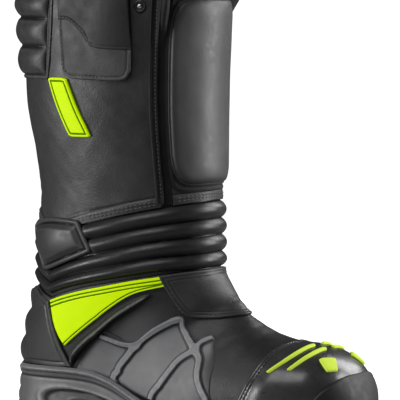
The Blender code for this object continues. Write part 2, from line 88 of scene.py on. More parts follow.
# Front x, z | back x, z | half width | level of the widest point | roundness of the front half
# and of the back half (2 is an ellipse) | sideways centre.
SECTIONS = np.array([
    (78, COLLAR, -89, COLLAR, 62, 0.50, 2.1, 2.1, 0), (76, 332, -89, 332, 62, 0.50, 2.1, 2.1, 0),
    (74, 297, -87, 297, 62, 0.50, 2.1, 2.1, 0), (73, 262, -85, 262, 61, 0.50, 2.1, 2.1, 0),
    (73, 227, -78, 227, 58, 0.50, 2.1, 2.1, 0), (74, 196, -74, 194, 55, 0.50, 2.1, 2.1, 0),
    (75, 166, -76, 162, 54, 0.50, 2.1, 2.1, 0), (76, 138, -77, 131, 52, 0.50, 2.1, 2.1, 0),
    (81, 125, -80, 106, 49, 0.50, 2.0, 2.2, 0), (87, 116, -88, 78, 46, 0.49, 2.0, 2.2, 0),
    (92, 112, -89, 54, 43, 0.47, 1.9, 2.4, 0), (96, 110, -79, 36, 41, 0.42, 1.9, 2.7, 0),
    (101, 106.5, -46, 32, 40, 0.38, 1.9, 3.2, 0), (107, 102.5, -4, 29, 40.5, 0.35, 1.9, 3.6, 0),
    (113, 98, 38, 24, 44, 0.33, 2.0, 3.8, 1), (120, 93.5, 78, 20, 48, 0.32, 2.0, 4.0, 2),
    (130, 89, 112, 19, 50, 0.33, 2.1, 4.0, 3), (144, 85, 139, 20, 50.5, 0.35, 2.2, 4.0, 4),
    (159, 82, 159, 22, 48, 0.38, 2.3, 3.8, 5), (174, 78, 175, 24.5, 42.5, 0.42, 2.4, 3.4, 6),
    (187, 69, 187, 26.5, 34, 0.44, 2.4, 3.2, 7), (195.5, 57, 195.5, 28, 22, 0.46, 2.4, 3.0, 8),
    (200, 44, 200, 32, 8, 0.50, 2.2, 2.2, 8),
], float)


# ---------------------------------------------------------------- the surface

def smooth_between(a, b, c, d, f):
    """The point at f of the way from b to c, on a smooth curve through all four."""
    return b + 0.5 * f * (c - a + f * (2 * a - 5 * b + 4 * c - d + f * (3 * (b - c) + d - a)))


def section(s):
    """The section values at s, on a smooth curve through SECTIONS."""
    s = np.clip(np.asarray(s, float), 0, TOE - 1e-9)
    first = np.floor(s).astype(int)
    knots = (SECTIONS[np.clip(first + k, 0, TOE)] for k in (-1, 0, 1, 2))
    return smooth_between(*knots, (s - first)[..., None])


def bare(s, t):
    """The surface at s and t, in design millimetres."""
    fx, fz, bx, bz, width, belly, front, back, sway = np.moveaxis(section(s), -1, 0)
    cosine, sine = np.cos(np.radians(t)), np.sin(np.radians(t))
    power = 2 / np.where(cosine > 0, front, back)
    along, across = np.abs(cosine) ** power, np.sign(sine) * np.abs(sine) ** power
    rise = np.where(cosine > 0, belly + (1 - belly) * along, belly * (1 - along))
    return np.stack([bx + (fx - bx) * rise, sway - width * across, bz + (fz - bz) * rise], -1)


def outward(s, t):
    """The surface's unit normal, away from the foot."""
    round_it = bare(s, t + 1.5) - bare(s, t - 1.5)
    down_it = bare(np.minimum(s + 0.02, TOE), t) - bare(np.maximum(s - 0.02, 0), t)
    normal = np.cross(round_it, down_it)
    return normal / np.linalg.norm(normal, axis=-1, keepdims=True)


def upper(s, t, offset=0.0):
    """The surface moved outwards by offset."""
    s, t, offset = np.broadcast_arrays(*(np.asarray(v, float) for v in (s, t, offset)))
    return bare(s, t) + outward(s, t) * offset[..., None]


def turned(t):
    """How far t is from the front ridge, 0 to 180."""
    return np.abs((np.asarray(t, float) + 180) % 360 - 180)


def dip(t):
    """How far a seam of the ankle zone has sunk at t, in s: lowest at the heel's corners."""
    turn = turned(t)
    return np.where(turn < 125, 0.9 * (turn / 125) ** 2, np.interp(turn, (125, 150), (0.9, 0.45)))


# ---------------------------------------------------------------- curves and profiles

def curve(points, count, rounded=True):
    """count points along the line through points, evenly spaced by its knots."""
    points = np.array(points, float)
    where = np.linspace(0, len(points) - 1, count)
    if not rounded or len(points) < 3:
        return np.stack([np.interp(where, range(len(points)), column) for column in points.T], -1)
    first = np.minimum(where.astype(int), len(points) - 2)
    padded = np.vstack([2 * points[0] - points[1], points, 2 * points[-1] - points[-2]])
    return smooth_between(*(padded[first + k] for k in range(4)), (where - first)[:, None])


def bevel(distance, radius):
    """A quarter round that climbs from 0 to 1 over radius."""
    return np.sqrt(1 - (1 - np.clip(distance / radius, 0, 1)) ** 2)


def step(value, low, high):
    """0 below low, 1 above high and smooth in between."""
    f = np.clip((value - low) / (high - low), 0, 1)
    return f * f * (3 - 2 * f)


def line(distance, where, width):
    """A soft line at a distance: 1 on it, 0 away from it."""
    return np.exp(-((distance - where) / width) ** 2)


def ripple(points, size, seed=0):
    """Smooth unevenness between -1 and 1, with waves of about size, from summed sines."""
    total = np.zeros(points.shape[:-1])
    for k in range(1, 7):
        turn = 2.4 * k + seed
        way = np.array([math.sin(turn), math.cos(1.7 * turn), math.sin(0.6 * turn + 1)])
        total += np.sin(points @ way * (2 * math.pi / size) * (0.6 + 0.18 * k) + 1.3 * k * k + seed)
    return total / 4


def spread(count, crowding=0.6):
    """0 to 1 in count steps, crowded towards both ends."""
    even = np.linspace(0, 1, count)
    return even + crowding * (0.5 - 0.5 * np.cos(math.pi * even) - even)


def nearest(targets, points):
    """The distance from each of points to the closest of targets."""
    tree = kdtree.KDTree(len(targets))
    for index, target in enumerate(targets):
        tree.insert(target, index)
    tree.balance()
    flat = points.reshape(-1, 3)
    return np.array([tree.find(p)[2] for p in flat]).reshape(points.shape[:-1])


def dense(path, gap=0.4):
    """A polyline of points with none further apart than gap."""
    length = np.concatenate([[0], np.cumsum(np.linalg.norm(np.diff(path, axis=0), axis=1))])
    where = np.linspace(0, length[-1], max(2, int(length[-1] / gap)))
    return np.stack([np.interp(where, length, column) for column in path.T], -1)


# ---------------------------------------------------------------- meshes

def place(points):
    return np.asarray(points, float) * MM + np.array([SHAFT_X, 0, 0])


def grid_faces(rows, columns, wrap=False, start=0):
    i, j = np.meshgrid(range(rows - 1), range(columns if wrap else columns - 1), indexing="ij")
    k = (j + 1) % columns
    corners = [i * columns + j, i * columns + k, (i + 1) * columns + k, (i + 1) * columns + j]
    return np.stack([start + c.ravel() for c in corners], -1).tolist()


def crest(height, wrap, reach=2):
    """How far each point of a height field stands above its neighbours."""
    total, count = np.zeros_like(height), 0
    padded = np.pad(height, ((reach, reach), (0, 0)), mode="edge")
    padded = np.pad(padded, ((0, 0), (reach, reach)), mode="wrap" if wrap else "edge")
    rows, columns = height.shape
    for i in range(2 * reach + 1):
        for j in range(2 * reach + 1):
            total += padded[i:i + rows, j:j + columns]
            count += 1
    return height - total / count


def mesh_object(name, points, faces, marks, tone=None, sharp=40):
    """An object whose points carry how far they stand proud (crest), which materials turn into painted
    highlights and painted shade, and a shade (tone).
    """
    mesh = bpy.data.meshes.new(name)
    mesh.from_pydata(place(points).tolist(), [], faces)
    shade = np.ones(len(points)) if tone is None else tone
    for layer, values in (("crest", marks), ("tone", shade)):
        mesh.attributes.new(layer, "FLOAT", "POINT").data.foreach_set(
            "value", np.asarray(values, np.float32))
    mesh.shade_smooth()
    mesh.set_sharp_from_angle(angle=math.radians(sharp))
    made = bpy.data.objects.new(name, mesh)
    bpy.context.scene.collection.objects.link(made)
    return made


def solid(name, outer, inner, height=None, wrap=False, capped=False, dark=None, tone=None):
    """A closed solid between two grids of points. capped closes its last row, not its first.

    dark paints shade into grooves that the height alone would not, and a highlight where it is
    negative; tone shades the outer side.
    """
    rows, columns = outer.shape[:2]
    half = rows * columns
    faces = grid_faces(rows, columns, wrap)
    faces += [face[::-1] for face in grid_faces(rows, columns, wrap, half)]
    top = list(range(columns))
    low = list(range(half - columns, half))
    if wrap:
        top.append(0)
        low.append(half - columns)
    faces += [(b, a, a + half, b + half) for a, b in zip(top, top[1:])]
    if capped:
        faces.append(list(range(half - columns, half)))
        faces.append(list(range(2 * half - 1, 2 * half - columns - 1, -1)))
    else:
        faces += [(a, b, b + half, a + half) for a, b in zip(low, low[1:])]
    if not wrap:
        left = [i * columns for i in range(rows)]
        right = [i * columns + columns - 1 for i in range(rows)]
        faces += [(a, b, b + half, a + half) for a, b in zip(left, left[1:])]
        faces += [(b, a, a + half, b + half) for a, b in zip(right, right[1:])]
    marks, shade = np.zeros(2 * half), np.ones(2 * half)
    if height is not None:
        marks[:half] = crest(height, wrap).ravel()
    if dark is not None:
        marks[:half] -= dark.ravel()
    if tone is not None:
        shade[:half] = tone.ravel()
    points = np.concatenate([outer.reshape(-1, 3), inner.reshape(-1, 3)])
    return mesh_object(name, points, faces, marks, shade)


class Panel:
    """A patch of the surface ruled between two lines of (t, s).

    corner and power round its corners, bow curves its left and right edges by so many degrees,
    and crowding gathers its rows and columns towards the border.
    """

    def __init__(self, top, bottom, rows, columns, side=1, corner=0.0, power=8, rounded=True,
                 crowding=0.6, bow=(0.0, 0.0)):
        self.top, self.bottom, self.side, self.rounded = top, bottom, side, rounded
        self.corner, self.power, self.bow = corner, power, bow
        self.v, self.u = np.meshgrid(spread(rows, crowding), spread(columns, crowding),
                                     indexing="ij")
        self.s, self.t = self.at(self.u, self.v)

    def at(self, u, v):
        """s and t at u along and v down the patch, each 0 to 1."""
        x, y = 2 * u - 1, 2 * v - 1
        x, y = (x * (1 - self.corner * np.abs(y) ** self.power),
                y * (1 - self.corner * np.abs(x) ** self.power))
        u, v = (x + 1) / 2, (y + 1) / 2
        fine = np.linspace(0, 1, 200)
        upper_line = curve(self.top, 200, self.rounded)
        lower_line = curve(self.bottom, 200, self.rounded)
        t0, s0 = (np.interp(u, fine, column) for column in upper_line.T)
        t1, s1 = (np.interp(u, fine, column) for column in lower_line.T)
        left, right = self.bow
        bowed = left * np.maximum(1 - 2 * u, 0) - right * np.maximum(2 * u - 1, 0)
        return s0 + (s1 - s0) * v, self.side * (t0 + (t1 - t0) * v + 4 * v * (1 - v) * bowed)

    def border(self, inset=0.0, edges="tblr"):
        """Points along the named edges (top, bottom, left, right), inset in millimetres."""
        middle = upper(*self.at(np.linspace(0, 1, 60), np.full(60, 0.5)))
        across = upper(*self.at(np.full(60, 0.5), np.linspace(0, 1, 60)))
        wide = np.linalg.norm(np.diff(middle, axis=0), axis=1).sum()
        high = np.linalg.norm(np.diff(across, axis=0), axis=1).sum()
        du, dv = inset / wide, inset / high
        run, edge = np.linspace(0, 1, 160), np.ones(160)
        ways = {"t": (du + (1 - 2 * du) * run, edge * dv),
                "r": (edge * (1 - du), dv + (1 - 2 * dv) * run),
                "b": (1 - du - (1 - 2 * du) * run, edge * (1 - dv)),
                "l": (edge * du, 1 - dv - (1 - 2 * dv) * run)}
        pieces = [self.at(*ways[edge_name]) for edge_name in edges]
        s = np.concatenate([p[0] for p in pieces])
        t = np.concatenate([p[1] for p in pieces])
        return s, t

    def away(self, edges="trbl"):
        """Each grid point's distance to the named edges."""
        return nearest(dense(upper(*self.border(edges=edges)), 0.2), upper(self.s, self.t))

    def rim(self):
        """Each grid point's distance to the patch's border."""
        distance = self.away()
        distance[[0, -1], :] = 0
        distance[:, [0, -1]] = 0
        return distance

    def build(self, name, height, floor=0.0, foot=0.25, **shading):
        """The solid, height above floor; foot is its thickness at the very edge."""
        height = np.maximum(height, 0) + foot
        outer = upper(self.s, self.t, floor + height)
        return solid(name, outer, upper(self.s, self.t, floor), height, **shading)


def stitches(name, s, t, lift, gap=3.6, long=2.7, thick=0.42):
    """A row of short raised threads along the line (s, t), lift above the surface."""
    fine = dense(np.stack([s, t, lift + np.zeros_like(s)], -1), 0.02)
    points = upper(*fine.T)
    normals = outward(fine[:, 0], fine[:, 1])
    travel = np.concatenate([[0], np.cumsum(np.linalg.norm(np.diff(points, axis=0), axis=1))])
    starts = np.arange(gap / 2, travel[-1] - long, gap)
    verts, faces = [], []
    ring = np.radians(np.arange(0, 360, 60))
    profile = ((0.0, 0.35, -0.5), (0.15, 0.9, 0.05), (0.5, 1.0, 0.25), (0.85, 0.9, 0.05),
               (1.0, 0.35, -0.5))                     # (along, width, height) of one thread
    sides, last = len(ring), len(ring) * (len(profile) - 1)
    for start in starts:
        ends = [np.array([np.interp(start + f * long, travel, column) for column in points.T])
                for f in (0, 1)]
        normal = np.array([np.interp(start + long / 2, travel, column) for column in normals.T])
        ahead = ends[1] - ends[0]
        aside = np.cross(ahead, normal)
        aside /= np.linalg.norm(aside)
        first = len(verts)
        for f, wide, up in profile:
            centre = ends[0] + ahead * f + normal * up * thick
            for a in ring:
                verts.append(centre + thick * wide * (math.cos(a) * aside + math.sin(a) * normal))
        faces += grid_faces(len(profile), sides, True, first)
        faces.append([first + j for j in range(sides - 1, -1, -1)])
        faces.append([first + last + j for j in range(sides)])
    marks = np.full(len(verts), 0.2)                   # a thread counts as proud all over
    return mesh_object(name, verts, faces, marks)


# ---------------------------------------------------------------- materials

class Finish:
    """A material's node tree, built from calls to add()."""

    def __init__(self, name):
        self.material = bpy.data.materials.new(name)
        self.material.use_nodes = True
        self.tree = self.material.node_tree
        self.shader = self.tree.nodes["Principled BSDF"]
        self.place = self.add("TexCoord").outputs["Object"]

    def add(self, kind, settings=None, **inputs):
        node = self.tree.nodes.new("ShaderNode" + kind)
        for key, value in (settings or {}).items():
            setattr(node, key, value)
        for key, value in inputs.items():
            self.join(value, node.inputs[int(key[1:]) if key[0] == "_" else key])
        return node

    def join(self, value, socket):
        if isinstance(value, bpy.types.NodeSocket):
            self.tree.links.new(value, socket)
        else:
            socket.default_value = value

    def noise(self, size, detail=3.0, rough=0.5, stretch=(1, 1, 1)):
        """Noise with features of about size millimetres, 0 to 1."""
        scaled = self.add("Mapping", _0=self.place, Scale=stretch)
        return self.add("TexNoise", _0=scaled.outputs[0], Scale=1 / (size * MM), Detail=detail,
                        Roughness=rough).outputs["Fac"]

    def cells(self, size):
        """Distances in a pebbled pattern with cells of about size millimetres."""
        node = self.add("TexVoronoi", {"feature": "SMOOTH_F1"}, Vector=self.place,
                        Scale=1 / (size * MM), Randomness=1.0, Smoothness=0.6)
        return node.outputs["Distance"]

    def ramp(self, value, low, high, to_low=0.0, to_high=1.0):
        return self.add("MapRange", _0=value, _1=low, _2=high, _3=to_low, _4=to_high).outputs[0]

    def math(self, operation, a, b=0.0):
        return self.add("Math", {"operation": operation}, _0=a, _1=b).outputs[0]

    def mix(self, share, a, b, kind="MIX"):
        node = self.add("Mix", {"data_type": "RGBA", "blend_type": kind})
        self.join(share, node.inputs[0])
        for value, socket in ((a, node.inputs[6]), (b, node.inputs[7])):
            self.join(value if isinstance(value, bpy.types.NodeSocket) else (*value, 1), socket)
        return node.outputs[2]

    def layer(self, name):
        """A value that the mesh carries: crest or tone."""
        return self.add("Attribute", {"attribute_name": name}).outputs["Fac"]

    def bumps(self, *layers):
        """Stacks (height, distance in millimetres, strength) into the shader's normal."""
        normal = None
        for height, distance, strength in layers:
            node = self.add("Bump", Height=height, Distance=distance * MM, Strength=strength)
            if normal is not None:
                self.join(normal, node.inputs["Normal"])
            normal = node.outputs[0]
        self.join(normal, self.shader.inputs["Normal"])

    def done(self, colour, rough, metallic=0.0, **inputs):
        self.join(colour, self.shader.inputs["Base Color"])
        self.join(rough, self.shader.inputs["Roughness"])
        self.join(metallic, self.shader.inputs["Metallic"])
        for key, value in inputs.items():
            self.join(value, self.shader.inputs[key.replace("_", " ")])
        return self.material


def grey(level):
    return (level, level, level * 1.03)


def rubbing_and_painted_light(finish, body, paler, dirt_and_shade):
    """Body colour with a painted highlight where the shape stands proud, over real rubbing there, and
    painted shade with dust darkening its grooves.
    """
    mark = finish.layer("crest")
    proud = finish.ramp(mark, 0.04, 0.55)
    sunk = finish.ramp(mark, -0.03, -0.4)
    rubbing_and_highlight = finish.math("MULTIPLY", proud, finish.ramp(finish.noise(3.0), 0.3, 0.6, 0.5, 1.0))
    return finish.mix(sunk, finish.mix(rubbing_and_highlight, body, paler), dirt_and_shade)


def leather(name, level, grain=1.3, rough=0.46, depth=0.16, pale=None):
    """Black full-grain leather: pebbled grain, fine pores, cloudy tone, pale edges from rubbing with a
    painted highlight on them, and painted shade in its grooves.

    pale is the grey where the mesh's tone is 0.
    """
    f = Finish(name)
    pebbles = f.cells(grain)
    pores = f.noise(0.5, 2.0)
    clouds = f.noise(34.0, 4.0, 0.55)
    speckle = f.noise(1.6, 4.0, 0.7)
    tone = f.mix(f.ramp(clouds, 0.35, 0.68), grey(level * 0.72), grey(level * 1.35))
    tone = f.mix(f.ramp(speckle, 0.35, 0.75, 0.0, 0.45), tone, grey(level * 1.8))
    if pale is not None:
        tone = f.mix(f.layer("tone"), grey(pale), tone)
    # proud points get a painted highlight over rubbing, three times paler; grooves get painted shade
    # with dust
    colour = rubbing_and_painted_light(f, tone, grey(level * 3.2), grey(level * 0.35))
    shine = f.ramp(f.noise(9.0, 3.0), 0.3, 0.7, rough - 0.06, rough + 0.07)
    f.bumps((f.noise(6.0, 3.0), 0.5, 0.35), (pebbles, depth, 0.55), (pores, 0.05, 0.5))
    return f.done(colour, shine, Specular_IOR_Level=0.5)


def rubber(name, level, rough=0.5, paler=3.0, faint=None, clear=0.0):
    """Moulded rubber: a fine eroded skin, faint clouds, pale edges from rubbing with a painted
    highlight on them, and grooves darkened by dust and painted shade.

    faint is the grey where the mesh's tone is 0.
    """
    f = Finish(name)
    light = grey(level * 1.3)
    tone = f.mix(f.ramp(f.noise(22.0, 4.0), 0.35, 0.7), grey(level), light)
    tone = f.mix(f.ramp(f.noise(0.9, 2.0), 0.4, 0.8, 0.0, 0.3), tone, light)
    if faint is not None:
        tone = f.mix(f.layer("tone"), grey(faint), tone)
    # the third number sets the painted highlight, over rubbing, on proud edges; grooves get painted
    # shade with dust
    colour = rubbing_and_painted_light(f, tone, grey(level * paler), grey(level * 0.3))
    shine = f.ramp(f.noise(5.0, 4.0), 0.3, 0.7, rough - 0.07, rough + 0.07)
    f.bumps((f.noise(0.7, 3.0), 0.06, 0.4), (f.noise(4.0, 2.0), 0.12, 0.2))
    return f.done(colour, shine, Coat_Weight=clear, Coat_Roughness=0.2)


def vivid(name, colour, glow=0.40):
    """Fluorescent yellow rubber: nearly even, with painted dark green shade in its grooves and a
    painted glow.
    """
    f = Finish(name)
    painted_groove_shade = (colour[0] * 0.14, colour[1] * 0.22, 0.0)
    tone = f.mix(f.ramp(f.noise(16.0, 3.0), 0.3, 0.7, 0.0, 0.5), colour,
                 (colour[0] * 0.9, colour[1] * 0.95, colour[2]))
    # where crest sinks, the grooves are painted a dark green shade
    shaded = f.mix(f.ramp(f.layer("crest"), -0.03, -0.22), tone, painted_groove_shade)
    f.bumps((f.noise(0.8, 2.0), 0.05, 0.4))
    # glow is a painted glow: the yellow emits light of its own, so it stays strong whatever the lamps
    return f.done(shaded, f.ramp(f.noise(4.0), 0.3, 0.7, 0.45, 0.6), Emission_Color=shaded,
                  Emission_Strength=glow, Specular_IOR_Level=0.1)


def woven(name, level, pitch, rough=0.85, depth=0.4, tint=(1, 1, 1)):
    """Woven cloth or webbing: crossing threads of one pitch in millimetres."""
    f = Finish(name)
    parts = f.add("SeparateXYZ", _0=f.place).outputs
    flat = f.math("ADD", parts[0], parts[1])
    waves = [f.math("SINE", f.math("MULTIPLY", part, 2 * math.pi / (pitch * MM)))
             for part in (flat, parts[2])]
    thread = f.math("MULTIPLY", waves[0], waves[1])
    body, light = (tuple(c * k for c in tint) for k in (level, level * 2.0))
    tone = f.mix(f.ramp(thread, -1, 1), body, light)
    tone = f.mix(f.ramp(f.noise(12.0, 4.0), 0.3, 0.7, 0.0, 0.4), tone, body)
    f.bumps((thread, depth, 0.6), (f.noise(0.4, 2.0), 0.1, 0.5))
    return f.done(tone, rough, Sheen_Weight=0.15, Sheen_Roughness=0.5)


def thread(name, level):
    f = Finish(name)
    tone = f.mix(f.ramp(f.noise(0.6), 0.35, 0.7), grey(level), grey(level * 1.9))
    f.bumps((f.noise(0.3, 2.0), 0.08, 0.6))
    return f.done(tone, 0.55)


def polished(name):
    f = Finish(name)
    tone = f.mix(f.ramp(f.noise(0.8, 4.0), 0.3, 0.7), (0.5, 0.5, 0.52), (0.75, 0.75, 0.76))
    f.bumps((f.noise(0.5, 2.0, 0.5, (1, 1, 6)), 0.03, 0.3))
    return f.done(tone, f.ramp(f.noise(1.5), 0.3, 0.7, 0.2, 0.38), 1.0)


def fibre(name, colour, rough=0.85):
    f = Finish(name)
    strands = f.noise(1.2, 5.0, 0.7, (0.25, 1, 1))
    dark = tuple(c * 0.6 for c in colour)
    f.bumps((strands, 0.2, 0.5))
    return f.done(f.mix(f.ramp(strands, 0.35, 0.7), dark, colour), rough)


MATERIALS = {}


def make_materials():
    MATERIALS.update({
        "leather": leather("black_grain_leather", 0.030),
        "smooth_leather": leather("smooth_strap_leather", 0.005, 0.8, 0.55, 0.06),
        # gusset leather: the grain leather made far darker, painted shade for the valley beside the
        # shin pad
        "gusset_leather": leather("gusset_leather", 0.004, 0.8, 0.75, 0.06),
        "patch_leather": leather("patch_leather", 0.036, 1.1, 0.55, 0.14),
        # each rubber's third number makes its proud edges paler: a painted highlight over rubbing
        "bellows": rubber("bellows_rubber", 0.014, 0.38, 3.4),
        "guard": rubber("guard_rubber", 0.035, 0.42, 3.6),
        "pad": rubber("shin_pad_rubber", 0.085, 0.44, 1.2, 0.012),
        "pad_leather": leather("collar_pad_leather", 0.023),
        "toe": rubber("toe_rubber", 0.032, 0.32, 2.2, clear=0.5),
        # the fin's edges turn ten times paler: a painted highlight along its ridge
        "fin": rubber("fin_rubber", 0.013, 0.5, 10.0),
        "foot_leather": leather("foot_leather", 0.017, pale=0.12),
        "bumper": rubber("bumper_rubber", 0.012, 0.55, 2.5),
        "web": rubber("web_rubber", 0.16, 0.5, 2.0, 0.022),
        "sole": rubber("sole_rubber", 0.10, 0.42, 2.4),
        "tread": rubber("tread_rubber", 0.022, 0.6, 3.0),
        # both hi-vis finishes carry a painted glow, the toe's a little weaker
        "vivid": vivid("hi_vis_yellow", (0.56, 0.80, 0.0)),
        "vivid_toe": vivid("hi_vis_toe_yellow", (0.60, 0.78, 0.07), 0.32),
        "lining": woven("lining_weave", 0.045, 1.6),
        "webbing": woven("loop_webbing", 0.028, 2.2, 0.65, 0.5),
        "steel": polished("polished_steel"),
        "plate": woven("plate_weave", 0.5, 1.2, 0.8, 0.2, (1.0, 0.86, 0.5)),
        "board": fibre("insole_board", (0.42, 0.33, 0.22)),
        "foam": rubber("footbed_foam", 0.06, 0.8, 1.5),
        "thread": thread("black_thread", 0.08),
        "dark_thread": thread("dark_thread", 0.02),
    })


# ---------------------------------------------------------------- riding on the frame

SLOTS = {"black_rubber": ("bellows", "guard", "pad", "toe", "fin", "bumper", "tread"),
         "grey_rubber": ("web", "sole"), "hi_vis_rubber": ("vivid", "vivid_toe"),
         "lining_fabric": ("lining",), "webbing": ("webbing",), "steel": ("steel",),
         "stiff_foam": ("foam",)}


def wear(made, finish, body, slot=None):
    """Gives a piece its material, parents it to its CAD body except on the ankle, where its transform
    is baked in instead, and hides the CAD node it stands for.

    slot is not used: the slot it names, or one that follows from the finish and is black leather by
    default, is worked out and dropped. The node has the piece's name, to which Blender adds a number
    where both are in the scene.
    """
    made.data.materials.append(MATERIALS[finish])
    if body == "ankle":
        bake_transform(made)
    else:
        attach(made, body)
    by_finish = (name for name, finishes in SLOTS.items() if finish in finishes)
    slot or next(by_finish, "black_leather")
    node = made.name.split(".")[0]
    if node in frame["nodes"]:
        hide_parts(node)


def sew(name, s, t, lift, body="ankle", size=(), finish="thread", slot=None):
    """A row of stitches on its body; size is their gap, length and thickness."""
    wear(stitches(name, s, t, lift, *size), finish, body, slot)


# ---------------------------------------------------------------- shaft

S_LENGTH = 31.0                                       # millimetres in one step of s


def above_bellows(t):
    return BELLOWS_TOP - 0.04 + dip(t)


def below_bellows(t):
    return BELLOWS_BOTTOM + 0.04 + dip(t)


def ring_angles(s, start, end, count):
    """Angles from start to end at each s, evenly spaced along the surface."""
    fine = np.linspace(start, end, 721)
    rows = []
    for level in np.atleast_1d(s):
        path = bare(np.full(fine.shape, level), fine)
        travel = np.concatenate([[0], np.cumsum(np.linalg.norm(np.diff(path, axis=0), axis=1))])
        closed = end - start > 359
        where = np.linspace(0, travel[-1], count, endpoint=not closed)
        rows.append(np.interp(where, travel, fine))
    return np.array(rows)


def zone(t0, t1, top, bottom, rows, columns):
    """A grid of s and t between two seams, which may be functions of t."""
    middle = (float(np.mean(top(90.0) if callable(top) else top)) + 5) / 2
    t = ring_angles(middle, t0, t1, columns)[0][None, :]
    start = top(t) if callable(top) else np.full(t.shape, float(top))
    end = bottom(t) if callable(bottom) else np.full(t.shape, float(bottom))
    s = start + (end - start) * spread(rows, 0.3)[:, None]
    return s, np.broadcast_to(t, s.shape)


def below_top(s, t, seam):
    """Distance in millimetres down from a seam line."""
    return np.abs(bare(s, t) - bare(seam(t), t))[..., 2]


def make_shaft_quarter():
    s, t = zone(GUSSET[1] + 0.3, 359.7 - GUSSET[1], 0, above_bellows, 110, 190)
    points = bare(s, t)
    low = below_top(s, t, above_bellows)
    height = 0.35 * ripple(points, 70) + 0.18 * ripple(points, 24, 3)
    height += 0.9 * (1 - step(low, 6.5, 7.6)) - 0.35 * line(low, 8.2, 0.7)
    creases = line(low, 16 + 3 * np.sin(np.radians(3 * t)), 2.2) + 0.7 * line(low, 27, 2.6)
    height -= 0.45 * creases * step(turned(t), 120, 165)
    height += 0.5 * line(turned(t), 180, 1.6) * step(s, 2.4, 2.8)
    height = np.clip(height, -1.4, 1.6)
    made = solid("shaft_quarter", upper(s, t, height), upper(s, t, -LEATHER), height)
    wear(made, "leather", "ankle")
    sew_seam("shaft", np.linspace(49, 311, 900))


def sew_seam(word, t):
    """Two rows of stitches above the bellows."""
    for index, away in enumerate((2.4, 4.8)):
        sew(f"{word}_seam_stitches_{index + 1}", above_bellows(t) - away / S_LENGTH, t, 0.95)


def make_front_panel():
    s, t = zone(0.3 - GUSSET[0], GUSSET[0] - 0.3, 0, above_bellows, 110, 64)
    low = below_top(s, t, above_bellows)
    height = 0.2 * ripple(bare(s, t), 50, 2) + 0.9 * (1 - step(low, 6.5, 7.6))
    height -= 0.35 * line(low, 8.2, 0.7)
    height = np.clip(height, -1.2, 1.4)
    made = solid("front_shin_panel", upper(s, t, height), upper(s, t, -LEATHER), height)
    wear(made, "leather", "ankle")
    sew_seam("shin", np.linspace(-38, 38, 300))


COLLAR_FLARE = 21.0                                   # how far a pleat stands out
GUSSET = (39.2, 47.2)                                 # its edges, in degrees from the shin


def pleat(s, t):
    """How far a gusset's pleat stands out at s and t: widest at the collar, 0 at its edges."""
    across = np.clip((turned(t) - GUSSET[0]) / (GUSSET[1] - GUSSET[0]), 0, 1)
    return COLLAR_FLARE * (1 - step(s, 0, 1.9)) * np.sin(math.pi * across) ** 0.9


def make_gussets():
    """The soft folds beside the shin pad, standing out as a pleat at the collar."""
    for word, side in SIDES:
        f = np.linspace(0, 1, 120)[:, None]
        g = np.linspace(0, 1, 40)[None, :]
        t = side * (GUSSET[0] + (GUSSET[1] - GUSSET[0]) * g) + 0 * f
        s = (above_bellows(t) - 0.02) * f
        fold = -2.6 * np.sin(math.pi * g) * step(s, 1.0, 2.2) + 0.15 * np.sin(s * 9 + 6 * g)
        height = pleat(s, t) + fold
        made = solid(f"{word}_gusset", upper(s, t, height), upper(s, t, height - LEATHER), height)
        # the darker gusset leather paints the shade of the valley beside the pad
        wear(made, "gusset_leather", "ankle")


def make_seam_strips():
    """Two folded edges with ladder stitching between them, beside each gusset."""
    for word, side in SIDES:
        panel = Panel([(45.4, 0.05), (51.0, 0.05)], [(45.4, 5.2), (51.0, 5.2)], 200, 22, side)
        across = panel.u
        height = 1.3 * bevel(np.minimum(across, 1 - across), 0.12)
        height += 0.6 * line(across, 0.86, 0.09) - 0.7 * line(across, 0.45, 0.2)
        height -= 0.25 * (0.5 + 0.5 * np.sin(panel.s * 62)) * line(across, 0.45, 0.25)
        made = panel.build(f"{word}_seam_strip", height, 0.3 + pleat(panel.s, panel.t))
        # the darker gusset leather paints the shade of the valley beside the pad
        wear(made, "gusset_leather", "ankle")
        run = np.linspace(0.12, 5.1, 700)
        for index, angle in enumerate((47.0, 49.4)):
            sew(f"{word}_strip_stitches_{index + 1}", run, side * (angle + 0 * run),
                1.3 + pleat(run, angle), size=(3.0, 2.1, 0.34))


def make_shin_pad():
    panel = Panel([(-39, 0.56), (39, 0.56)], [(-39, 4.8), (39, 4.8)], 120, 90, corner=0.10, power=9)
    rim = panel.rim()
    height = 1.2 * bevel(rim, 2.6) + 3.9 * bevel(rim - 2.0, 14)
    height += 0.2 * ripple(upper(panel.s, panel.t), 60, 5) * step(rim, 2, 9)
    # tone paints shade on the pad's rim and bevel, where the pad rubber turns near-black
    made = panel.build("shin_pad", height, 0.6, tone=0.1 + 0.9 * step(rim, 2.0, 9.0))
    wear(made, "pad", "ankle")
    around = Panel([(-40.8, 0.40), (40.8, 0.40)], [(-40.8, 4.96), (40.8, 4.96)], 90, 70,
                   corner=0.06, power=10, crowding=0.85)
    rim = around.rim()
    height = 0.7 * step(rim, 0.0, 2.2) * (1 - step(rim, 3.2, 4.0)) + 0.1
    made = around.build("shin_pad_surround", height, 0.3, 0.1)
    # the surround wears the near-black gusset leather, not rubber, as painted shade over the light its
    # edge catches
    wear(made, "gusset_leather", "ankle", "black_rubber")


# ---------------------------------------------------------------- collar

PAD_TOP, PAD_BOTTOM = 0.42, 2.32
PAD_RIBS = 3


